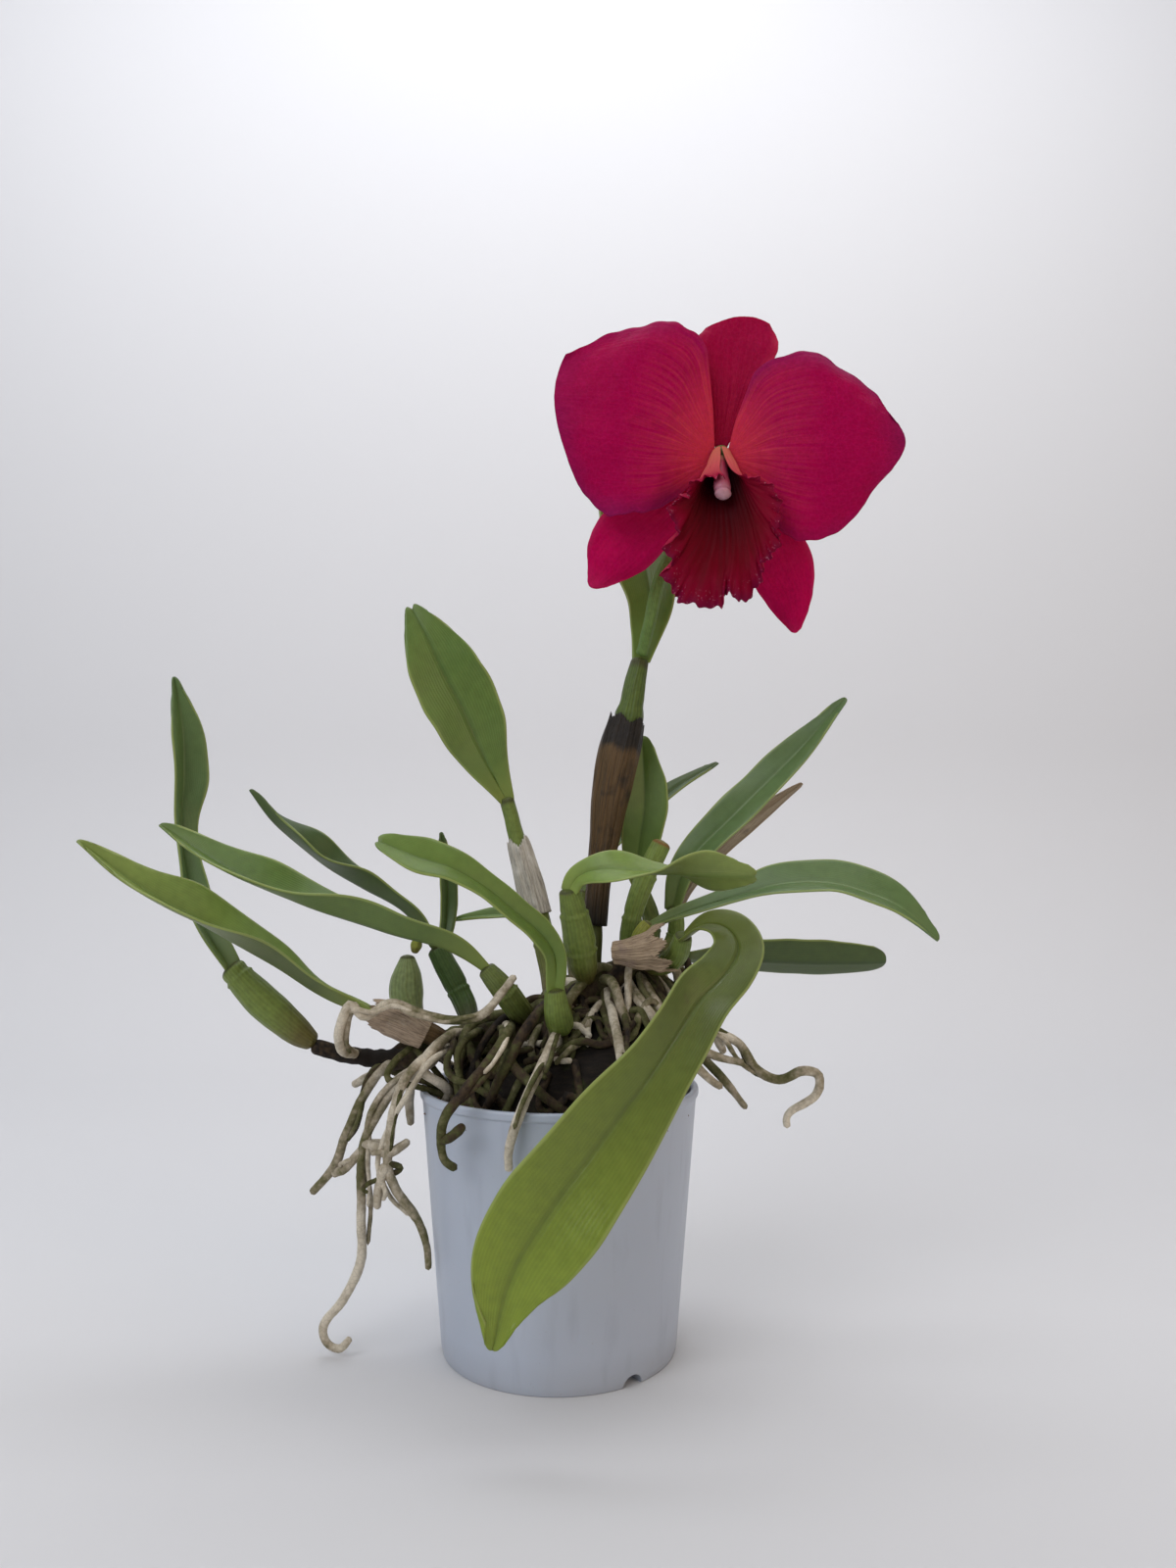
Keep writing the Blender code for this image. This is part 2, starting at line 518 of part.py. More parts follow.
# Leaves: name, the stem that carries it, spine, half widths, facings, colour and options.
LEAVES = [
    ("leaf_upright_left", "pseudobulb_upright_left",
     [(-24, 14, 232), (-32, 12, 247), (-38, 10, 260), (-45, 7, 276), (-52, 5, 289),
      (-60, 4, 306), (-68, 5, 321)],
     [3.0, 9.0, 14.5, 17.5, 17.5, 14.5, 6.0],
     [(0.3, -1, 0.1), (0.2, -1, 0.3)],
     "leaf_green", dict(fold=16, tip=8, notch=2, wave=0.8)),
    ("leaf_low_left", "pseudobulb_low_left",
     [(-80, -12, 140.5), (-98, -16, 149), (-119, -22, 163), (-143, -30, 179),
      (-168, -36, 194), (-194, -42, 214)],
     [4.2, 9.5, 14.0, 14.0, 11.0, 3.5],
     [(-0.1, 0, 1), (0, -0.1, 1), (0, -0.5, 0.9), (0, -0.5, 0.9)],
     "leaf_green", dict(fold=38, tip=8, wave=0.8)),
    ("leaf_far_left", "pseudobulb_far_left",
     [(-142, -6, 159), (-156, 0, 176), (-166, 6, 197), (-171, 10, 221), (-171, 12, 245),
      (-172, 11, 267), (-175, 8, 289)],
     [4.8, 8.0, 8.5, 7.5, 8.5, 11.0, 10.5, 3.0],
     [(0.75, -0.65, 0), (0.8, -0.5, 0), (0.6, -0.7, 0)],
     "leaf_green", dict(fold=40, tip=7, wave=0.8)),
    ("leaf_long_left", "pseudobulb_front",
     [(-30, -24, 160), (-46, -25, 170), (-72, -28, 178), (-105, -31, 189),
      (-133, -31, 201), (-166, -28, 221)],
     [4.0, 10.0, 13.5, 13.5, 11.0, 3.5],
     [(0, 0.3, 1), (0, 0.25, 1), (0, -0.4, 0.9), (0, -0.5, 0.9)],
     "leaf_light", dict(fold=38, tip=7, wave=0.8)),
    ("leaf_back_left", "pseudobulb_dark",
     [(-57, 10, 167), (-69, 9, 184), (-88, 7, 195), (-107, 3, 207), (-124, -1, 222),
      (-136, -4, 237)],
     [3.4, 7.5, 11.5, 12.0, 10.0, 3.5],
     [(0, 0.1, 1), (0, 0.1, 1), (0, -0.3, 0.9), (0, 0.3, 0.9)],
     "leaf_green", dict(fold=38, tip=7, wave=0.8)),
    ("leaf_pale_front", "pseudobulb_pale",
     [(-1, -42, 154), (-1, -46, 168), (-7, -50, 178), (-16, -54, 186), (-28, -58, 196),
      (-40, -61, 203), (-53, -63, 207), (-69, -64, 214)],
     [3.6, 4.6, 5.8, 6.4, 6.8, 8.4, 9.4, 5.5],
     [(0.2, -0.9, 0.3), (0.1, -0.75, 0.65), (0.1, -0.75, 0.65)],
     "leaf_light", dict(fold=20, tip=5, notch=1)),
    ("leaf_narrow_left", "pseudobulb_dark",
     [(-54, 15, 166), (-52, 20, 180), (-52, 21, 196), (-55, 20, 219)],
     [2.6, 4.2, 4.2, 1.8], [(0.4, -0.9, 0)], "leaf_green",
     dict(fold=24, tip=5, rows=8, cols=4)),
    ("leaf_short_back", "pseudobulb_upright_left",
     [(-9, 14, 181), (-20, 22, 182), (-34, 24, 181), (-49, 24, 179)],
     [2.8, 4.0, 3.8, 2.0], [(0, -0.6, 0.8)], "leaf_green",
     dict(fold=25, tip=4, rows=8, cols=4)),
    ("leaf_upright_right", "pseudobulb_back_right",
     [(37, 18, 191), (35, 16, 208), (38, 14, 232), (37, 17, 263)],
     [3.0, 8.0, 10.5, 10.0, 5.5], [(0.1, -1, 0)], "leaf_green", dict(fold=20, tip=6)),
    ("leaf_behind_stem", "pseudobulb_back_left",
     [(9, 26, 191), (17, 30, 205), (31, 36, 220), (54, 46, 240), (76, 54, 254)],
     [2.8, 5.5, 6.5, 6.0, 2.5], [(-0.5, -0.6, 0.6)], "leaf_dark",
     dict(fold=24, tip=6)),
    ("leaf_ascending_right", "pseudobulb_right",
     [(50, 10, 184), (57, 9, 205), (79, 5, 228), (103, 0, 252), (125, -8, 277)],
     [3.6, 8.0, 9.5, 8.5, 3.0],
     [(-0.3, -0.9, 0.35), (-0.4, -0.8, 0.4)],
     "leaf_light", dict(fold=22, tip=8, wave=0.6)),
    ("leaf_dry_right", "pseudobulb_right",
     [(52, 13.5, 183), (62, 22, 198), (82, 26, 219), (112, 26, 242)],
     [2.4, 4.5, 6.0, 2.0], [(-0.4, -0.8, 0.5)], "dry_brown",
     dict(fold=20, tip=5, rows=10, thickness=0.9)),
    ("leaf_arching_right", "pseudobulb_low_right",
     [(39, -14, 178), (54, -15, 184), (73, -17, 190), (93, -21, 196), (112, -26, 197),
      (127, -31, 193), (140, -35, 187), (154, -38, 174)],
     [2.6, 4.4, 6.5, 9.5, 11.5, 11.5, 10.0, 4.5],
     [(0, -0.5, 0.9), (0.1, -0.65, 0.75), (0.3, -0.6, 0.7)],
     "leaf_green", dict(fold=26, tip=7, wave=0.6)),
    ("leaf_level_right", "rhizome",
     [(57, 9, 163), (70, 16, 162), (91, 21, 161), (120, 24, 160), (149, 25, 160)],
     [3.2, 8.5, 11.0, 11.0, 7.5],
     [(-0.1, 0.75, 0.65), (0, 0.8, 0.6)],
     "leaf_dark", dict(fold=18, tip=6)),
    ("leaf_twisted_middle", "pseudobulb_leaning",
     [(4, -27, 193), (9, -31, 200), (20, -36, 203), (38, -40, 202), (58, -45, 201),
      (79, -51, 200)], [3.4, 6.0, 8.5, 7.5, 10.0, 10.5, 5.0],
     [(0, -0.9, 0.4), (0, -0.85, 0.5), (0, -0.3, 1), (0, 0.75, 0.65), (0, 0.95, 0.4)],
     "leaf_light", dict(fold=14, tip=5, notch=1)),
    ("leaf_hanging_front", "pseudobulb_front_right",
     [(52, -28, 174), (60, -36, 180), (68, -45, 179), (71, -54, 172), (65, -62, 163),
      (54, -68, 153), (44, -75, 140), (32, -81, 124), (14, -87, 102), (-3, -91, 80),
      (-15, -93, 60), (-21, -93, 36)],
     [3.4, 7.5, 10.0, 11.5, 12.5, 14.0, 17.0, 19.0, 20.0, 20.0, 17.0, 5.0],
     [(-0.5, -0.4, 0.8), (0.1, -0.5, 0.85), (0.5, -0.75, 0.4), (0.45, -0.85, 0.3), (0.3, -0.9, 0.3), (0.15, -0.95, 0.25)],
     "leaf_light", dict(fold=16, tip=10, wave=1.2, rows=22)),
    ("leaf_behind_bloom", "flowering_stem",
     [(36, 4, 295), (39, 9, 310), (41, 13, 326), (38, 18, 345), (32, 22, 372),
      (28, 26, 398), (26, 28, 418)], [4.2, 9.0, 13.5, 16.0, 16.0, 13.0, 4.0],
     [(0, -1, 0.1), (-0.1, -1, 0.1)], "leaf_green", dict(fold=18, tip=9, notch=3, wave=0.8)),
]

# Sheaths: name, spine, radii, facing, span in degrees, colour and options.
SHEATHS = [
    ("sheath_black", [(15.2, 1.4, 178), (17, 2, 198), (20, 2, 220), (23.5, 2, 243), (30, 1, 271)],
     [4.9, 4.8, 6.0, 7.9, 8.8, 7.9], (0.1, -1, 0), 318, "black_sheath", dict(ragged=3, teeth=6)),
    ("sheath_silver", [(-10, 10, 182), (-13.3, 11, 194), (-17, 12, 206), (-20, 12.7, 217)],
     [5.7, 5.8, 5.3, 4.7], (-0.1, -1, 0), 300, "silver_sheath", dict(ragged=4, teeth=4)),
    ("sheath_grey", [(-57, -10.6, 132.5), (-68, -12, 138), (-81, -12, 141.6)],
     [6.4, 7.2, 6.8, 5.8], (0, -1, 0.4), 290, "silver_sheath", dict(ragged=4, teeth=4, rows=6)),
    ("sheath_dry_right", [(24, -14, 167), (36, -18.6, 168), (48, -21.6, 171)],
     [4.5, 7.5, 10.5], (0, -1, -0.1), 175, "dry_brown", dict(ragged=5, teeth=5)),
]


# Pieces that lie against one another: the first is cut back from the second.
CLOSE_PAIRS = [
    ("pseudobulb_leaning", "flowering_stem"),
    ("pseudobulb_low_right", "pseudobulb_front_right"),
    ("leaf_short_back", "sheath_silver"),
    ("pseudobulb_low_right", "cut_stump"),
    ("sheath_dry_right", "pseudobulb_front_right"),
    ("sheath_dry_right", "leaf_hanging_front"),
]


def make_greenery():
    """Stems, sheaths and leaves, each seated on what carries it."""
    stems = {}
    core = rod("rhizome_core", RHIZOME, RHIZOME_RADII, points=16, detail=2, coll=CUTTERS)
    stems["rhizome"] = core
    for name, spine, radii, colour in STEMS:
        stem = rod(name, spine, radii, colour, points=STEM_POINTS, detail=2)
        seat(stem, core)
        stem.data.shade_smooth()
        stems[name] = stem
    for name, carrier, spine, widths, facings, colour, options in LEAVES:
        leaf = blade(name, spine, widths, facings, colour, **options)
        seat(leaf, stems[carrier])
    for name, spine, radii, face, span, colour, options in SHEATHS:
        wrap(name, spine, radii, face, span, colour, **options)
    return stems


def bloom_frame():
    """Origin and axes of the bloom: right, up, and forward to where it faces."""
    forward = Vector(BLOOM_FACING).normalized()
    up = Vector((0, 0, 1))
    up = (up - forward * up.dot(forward)).normalized()
    return mm(BLOOM_CENTRE), up.cross(forward), up, forward


def in_bloom(point):
    """A bloom point (right, up, forward) in mm to world metres."""
    origin, right, up, forward = bloom_frame()
    x, y, z = mm(point)
    return origin + right * x + up * y + forward * z


# Petals and sepals: one edge, the midline and the other edge, in bloom millimetres.
TEPALS = [
    ("petal_left", "petal_magenta",
     [(-3, -3, -1.6), (-13, -12, 2), (-23, -20, 4), (-37, -24, 6), (-50, -23, 7), (-60, -11, 6)],
     [(-3.4, 0, -1.6), (-15, 6, 3), (-26, 11, 6), (-40, 15, 8), (-54, 17, 8), (-69, 21, 5)],
     [(-2.6, 2.6, -1.6), (-4, 26, 1), (-8, 46, 2), (-23, 54, 2), (-43, 51, 3), (-64, 42, 4)],
     3.0, 2.5, (11, 8)),
    ("petal_right", "petal_magenta",
     [(2.8, -2.6, -1.6), (13, -16, 2), (22, -30, 4), (36, -37, 5), (53, -29, 4), (66, -11, 4)],
     [(3.4, -0.6, -1.6), (14, 2, 3), (25, 4, 6), (41, 4, 8), (58, 2, 7), (75, 1, 3)],
     [(2.8, 1.8, -1.6), (8, 19, 1), (17, 35, 2), (38, 39, 3), (60, 25, 4), (70, 12, 4)],
     3.0, 2.5, (11, 8)),
    ("dorsal_sepal", "sepal_red",
     [(-2, 2.6, -4.4), (-7, 26, -5), (-11, 46, -7), (-6, 55, -11)],
     [(0, 3, -4.4), (4, 26, -7), (7, 46, -10), (10, 59, -13)],
     [(2, 2.6, -4.4), (14, 26, -5), (24, 44, -7), (21, 55, -11)], 1.0, 1.5, (8, 5)),
    ("lateral_sepal_left", "sepal_red",
     [(-3, -1.2, -4.4), (-28, -10, -6), (-49, -21, -8), (-57, -35, -8), (-57, -48, -8)],
     [(-2.6, -2.2, -4.4), (-19, -16, -5), (-36, -30, -6), (-48, -42, -7), (-56, -53, -8)],
     [(-1.4, -3, -4.4), (-11, -20, -6), (-22, -35, -8), (-33, -46, -8), (-49, -53, -8)],
     1.0, 1.5, (8, 5)),
    ("lateral_sepal_right", "sepal_red",
     [(3, -1.4, -4.4), (22, -19, -6), (38, -39, -8), (39, -58, -8), (35, -70, -8)],
     [(2.4, -2.4, -4.4), (14, -24, -5), (24, -44, -6), (31, -60, -7), (32, -74, -8)],
     [(1.2, -3, -4.4), (5, -28, -6), (12, -49, -8), (20, -62, -8), (28, -71, -8)],
     1.0, 1.5, (8, 5)),
]

# The lip's rings from its base outwards: centre right and up, half width, half height,
# and how far forward its top and its foot are.
LIP_RINGS = [(0, -1.5, 4.2, 5.0, 0.2, 0.2), (0, -10.5, 7.5, 8.5, 6, 6.5),
             (0, -23, 13.0, 15.5, 11.5, 15)]

# The lip's scalloped margin, from the left of its top round its foot to the right.
LIP_RIM = [(1, -11, 15), (-3, -11, 16), (-9, -12, 17), (-14, -15, 18), (-14, -19, 17),
           (-18, -19, 18), (-22, -25, 18), (-18, -33, 20), (-24, -40, 19), (-20, -46, 21),
           (-25, -50, 20), (-20, -57, 22), (-18, -61, 22), (-10, -63, 24), (-1, -64, 25),
           (0, -59, 24), (3, -59, 25), (8, -62, 24), (13, -57, 23), (16, -51, 22),
           (16, -47, 22), (20, -43, 20), (23, -38, 19), (22, -34, 19), (23, -27, 18),
           (23, -21, 17), (19, -15, 17), (14, -12, 16), (9, -11, 14)]
LIP_LEFT = 176.0
LIP_RIGHT = 150.0


def make_tepal(name, colour, low, middle, high, bulge, wave, grid):
    edges = [[Vector(p) for p in line] for line in (low, middle, high)]

    def place(t, v):
        a, b, c = (smooth_curve(line, t) for line in edges)
        point = b + (c - a) * (v / 2) + (c + a - b * 2) * (v * v / 2)
        out = ease(t * 2.2)
        point.z += wave * v * v * out * math.sin(9 * t + 4 * v)
        point.z += bulge * out * (1 - v * v) * math.sin(math.pi * t)
        return in_bloom(point)

    rows, cols = grid
    return sheet(name, place, rows, cols, PETAL_THICKNESS, colour)


def lip_point(t, v):
    """The funnel with its scalloped margin: t runs from the base out, v round the foot."""
    reach = LIP_LEFT if v < 0 else 176 - (176 - LIP_RIGHT) * t
    turn = math.radians(reach * v)
    points = []
    for right, up, wide, high, top, foot in LIP_RINGS:
        forward = top + (foot - top) * (1 + math.cos(turn)) / 2
        points.append(Vector((right + wide * math.sin(turn), up - high * math.cos(turn),
                              forward)))
    points.append(smooth_curve([Vector(p) for p in LIP_RIM], (v + 1) / 2))
    return in_bloom(smooth_curve(points, t))


def make_bloom(stem):
    knob = in_bloom((0, 0, -0.6)) * 1000
    back = in_bloom((0, 0, -14)) * 1000
    ovary = rod("flower_stalk", [(36, 0.5, 297), (40, -1, 313), (44, -1, 330), (53, -2, 350),
                                 (62, -8, 366), tuple(back), tuple(knob)],
                [2.6, 2.7, 2.8, 2.8, 3.0, 3.6, 4.4], "green_bulb", points=18, detail=2)
    seat(ovary, stem)
    ovary.data.shade_smooth()
    for spec in TEPALS:
        seat(make_tepal(*spec), ovary)
    sheet("lip", lip_point, 8, len(LIP_RIM) - 1, PETAL_THICKNESS, "lip_crimson")
    column = [in_bloom(p) * 1000 for p in ((0, -1, 0.4), (0, -7.2, 6), (0, -14, 10.5),
                                           (0.5, -19.5, 13.5))]
    seat(rod("column", [tuple(p) for p in column], [2.3, 2.6, 3.0, 3.6, 2.8], "column_pink",
             points=9, detail=2), ovary)
    return ovary


def make_bud():
    rod("yellow_bud", [(-66, 14, 164.5), (-65, 14, 168), (-64, 13, 172)], [1.4, 2.6, 1.2],
        "bud_yellow", points=6, detail=1)


clear_scene()
PLANT = new_collection("cattleya_orchid")
CUTTERS = new_collection("cutters")
pot = make_pot()
medium = make_medium()
stems = make_greenery()
make_bloom(stems["flowering_stem"])
make_bud()
for piece, neighbour in CLOSE_PAIRS:
    seat(PLANT.objects[piece], PLANT.objects[neighbour])
core = stems.pop("rhizome")
bpy.data.objects.remove(core, do_unlink=True)
make_roots(medium, pot, stems.values())
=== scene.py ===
import math
import random

import bmesh
import bpy
import numpy as np
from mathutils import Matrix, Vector, noise


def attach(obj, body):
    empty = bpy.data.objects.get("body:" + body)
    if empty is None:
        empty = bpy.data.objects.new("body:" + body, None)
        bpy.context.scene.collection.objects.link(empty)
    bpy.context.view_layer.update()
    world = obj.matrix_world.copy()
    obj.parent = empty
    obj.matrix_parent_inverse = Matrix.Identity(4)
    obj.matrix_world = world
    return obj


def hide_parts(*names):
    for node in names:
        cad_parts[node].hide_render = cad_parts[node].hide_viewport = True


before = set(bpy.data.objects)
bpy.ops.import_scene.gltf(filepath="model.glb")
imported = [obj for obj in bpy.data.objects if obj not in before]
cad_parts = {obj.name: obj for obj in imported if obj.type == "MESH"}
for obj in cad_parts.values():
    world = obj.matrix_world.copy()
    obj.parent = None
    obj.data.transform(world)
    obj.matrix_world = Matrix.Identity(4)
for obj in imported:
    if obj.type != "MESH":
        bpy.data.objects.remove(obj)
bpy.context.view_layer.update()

# The photo's frame and camera, which the pot's rim, sides and base were fitted to.
CAMERA_PLACE = (0.0123, -0.4998, 0.2068)
CAMERA_PITCH = 93.8
CAMERA_LENS = 26.0

# Sizes in millimetres, as in the part.
POT_HEIGHT = 109.6
POT_RIM_RADIUS = 60.0
POT_BASE_RADIUS = 49.5
POT_WALL = 2.6
POT_FLOOR = 7.0
RIM_DEPTH = 3.2
RIM_STEP = 1.0
NOTCH_COUNT = 3
NOTCH_WIDTH = 9.5
NOTCH_HEIGHT = 4.5
NOTCH_DEPTH = 9.0
NOTCH_TURN = 37.0
MEDIUM_TOP = 99.0
ROOT_RADIUS = 2.0
LEAF_THICKNESS = 1.5
PETAL_THICKNESS = 0.8
SHEATH_THICKNESS = 0.7
BLOOM_CENTRE = (68, -36, 375.5)
BLOOM_FACING = (-0.08, -0.98, -0.18)

# How finely pieces are drawn: steps along them and steps across or round them.
STEM_GRID = (70, 48)
SHEATH_GRID = (70, 150)
TEPAL_GRID = (96, 76)
LIP_GRID = (84, 300)
COLUMN_GRID = (90, 40)
RHIZOME_GRID = (120, 28)
LEAF_STEP = 1.6
ROOT_STEP = 1.5

# The creeping stem that all growths rise from, and its radii.
RHIZOME = [(-108, -2, 126), (-88, 0, 121), (-67, 0, 120), (-48, -2, 128), (-27, -6, 133),
           (-4, -8, 142), (15, -4, 152), (34, 2, 160), (56, 8, 163)]
RHIZOME_RADII = [3.4, 3.6, 5.2, 5.6, 6.0, 6.2, 6.2, 5.6, 4.4]

# How many roots fill the mound: thick ones as in the part, finer ones between them, and
# thin ones that wander over its top. How far in mm from the middle they may end, and how
# far in radians each turns from the one before.
MOUND_ROOTS = 20
FINE_ROOTS = 34
SURFACE_ROOTS = 84
MOUND_REACH = 50
SURFACE_REACH = 49
GOLDEN_ANGLE = 2.4

# The heap of litter under them, darkened to near black as painted shade between the roots:
# how far below the rhizome its crest lies, how it falls away from there, and where it
# drops to the bark. Its reach and its foot's radius and height are in mm too.
HEAP_SINK = 6
HEAP_SLOPE = 0.5
HEAP_CURVE = 0.004
HEAP_EDGE = 44
HEAP_EDGE_SLOPE = 1.4
HEAP_REACH = 52.5
HEAP_FOOT_RADIUS = 50
HEAP_FOOT_HEIGHT = 96

# Roots that hang free or lie over the rim, each from the rhizome outwards.
FREE_ROOTS = [
    [(-88, 0, 122), (-92, -14, 126), (-91, -24, 136), (-86, -27, 147), (-80, -26, 142),
     (-69, -24, 147), (-52, -28, 142), (-34, -32, 142), (-23, -36, 152), (-17, -38, 160)],
    [(-24, -7, 133), (-20, -26, 138), (-21, -40, 136), (-28, -51, 126), (-35, -59, 118),
     (-42, -60, 109), (-44, -58, 100), (-43, -57, 92), (-38, -56, 88)],
    [(-44, -58, 99), (-40, -60, 101), (-35, -61, 106)],
    [(-50, -4, 127), (-54, -15, 121), (-66, -19, 114), (-76, -18, 100), (-82, -16, 87),
     (-83, -14, 63), (-83, -12, 39), (-90, -12, 23), (-98, -12, 13), (-97, -13, 6),
     (-91, -15, 4), (-86, -16, 9)],
    [(-70, 0, 120), (-76, -6, 117), (-84, -8, 105), (-91, -8, 89), (-96, -7, 76),
     (-106, -6, 64)],
    [(-82, -15, 86), (-89, -13, 78), (-96, -9, 73)],
    [(-46, -4, 127), (-56, -24, 124), (-64, -27, 115), (-68, -26, 101), (-70, -25, 83),
     (-67, -25, 72), (-58, -24, 59), (-54, -24, 49), (-53, -24, 39)],
    [(-82, -16, 88), (-76, -21, 88), (-70, -25, 86), (-61, -24, 91)],
    [(-70, -26, 82), (-73, -26, 74), (-74, -26, 64)],
    [(-60, 2, 122), (-64, 0, 114), (-65, -2, 104), (-64, -3, 92)],
    [(-72, 0, 120), (-80, 4, 114), (-91, 3, 108)],
    [(40, 2, 160), (50, -8, 146), (64, -13, 135), (76, -16, 129), (83, -18, 119),
     (92, -20, 115), (101, -22, 119), (108, -22, 117), (107, -22, 109), (96, -20, 101),
     (95, -20, 95)],
    [(34, 0, 158), (44, -19, 142), (50, -24, 133), (64, -25, 126), (77, -26, 123)],
    [(44, 4, 161), (49, 4, 140), (54, 4, 127), (64, 2, 119), (73, 0, 109), (81, -2, 99)],
    [(28, 0, 156), (42, -28, 138), (58, -31, 121), (67, -32, 114)],
    [(60, -11, 138), (67, -6, 132), (71, -4, 123)],
    [(20, -4, 152), (24, -40, 136), (27, -58, 122), (31, -64, 106), (30, -61, 88),
     (22, -61, 72)],
    [(6, -6, 145), (-2, -40, 134), (-10, -58, 118), (-17, -62, 100), (-18, -60, 88)],
]

# Which of them hangs over the pot's rim with no finer root beside it.
OVER_RIM = 2

# Upright stems: name, spine from the rhizome up and radii.
STEMS = [
    ("pseudobulb_upright_left", [(-4, -6, 146), (-5, 6, 158), (-10, 10, 182), (-17, 12, 206),
                                 (-25, 14, 235)], [3.2, 4.4, 4.8, 4.2, 3.6, 3.2]),
    ("pseudobulb_low_left", [(-48, -5, 128), (-58, -11, 134), (-68, -12, 138), (-82, -12, 142)],
     [3.2, 4.4, 4.6, 4.2, 3.2]),
    ("pseudobulb_far_left", [(-106, -2, 127), (-113, -3, 132), (-121, -4, 139),
                             (-131, -5, 148), (-143, -6, 161)],
     [3.6, 5.8, 6.9, 7.3, 7.1, 6.2, 5.4]),
    ("pseudobulb_front", [(-13, -9, 139), (-17, -19, 144), (-23, -24, 153), (-31, -24, 162)],
     [3.0, 4.8, 5.2, 4.8, 3.6]),
    ("pseudobulb_dark", [(-38, -2, 132), (-42, 8, 142), (-49, 11, 155), (-56, 12, 168)],
     [3.2, 4.4, 5.0, 5.0, 4.6]),
    ("pseudobulb_pale", [(2, -12, 146), (1, -28, 140), (0, -38, 144), (-1, -42, 156)],
     [3.2, 4.2, 5.4, 5.2, 4.0]),
    ("pseudobulb_leaning", [(12, -6, 154), (10, -15, 163), (8, -21, 177), (4, -27, 195)],
     [3.2, 5.6, 6.8, 6.6, 5.6, 4.0]),
    ("flowering_stem", [(14, -2, 155), (15, 1, 172), (16, 2, 190), (19, 2, 208), (23, 2, 240),
                        (30, 1, 268), (34, 2, 288), (36, 3, 297)],
     [4.2, 3.4, 3.2, 4.4, 6.4, 7.2, 5.4, 3.8]),
    ("cut_stump", [(30, 0, 161), (31, -2, 178), (36, -3, 195), (45, -4, 215)],
     [3.8, 4.2, 4.4, 4.3]),
    ("pseudobulb_back_right", [(35, 4, 161), (40, 12, 168), (41, 17, 180), (37, 18, 193)],
     [3.0, 3.6, 3.8, 3.6, 3.2]),
    ("pseudobulb_back_left", [(8, 0, 152), (7, 12, 160), (8, 22, 174), (9, 26, 193)],
     [3.0, 3.8, 4.2, 3.8, 3.2]),
    ("pseudobulb_right", [(44, 4, 163), (50, 10, 170), (52, 10, 178), (50, 11, 186)],
     [3.0, 3.6, 3.6, 3.2]),
    ("pseudobulb_front_right", [(38, -1, 160), (45, -12, 162), (50, -22, 168), (52, -28, 176)],
     [3.2, 4.2, 4.6, 4.4, 3.6]),
    ("pseudobulb_low_right", [(31, -3, 160), (33, -10, 167), (35, -13, 174), (39, -14, 180)],
     [2.6, 3.4, 3.6, 3.2]),
    ("new_growth", [(-58, 3, 124), (-64, 10, 134), (-69, 13, 146), (-69, 14, 156),
                    (-69, 14, 164)], [3.0, 3.2, 5.0, 7.4, 6.4, 2.6]),
]

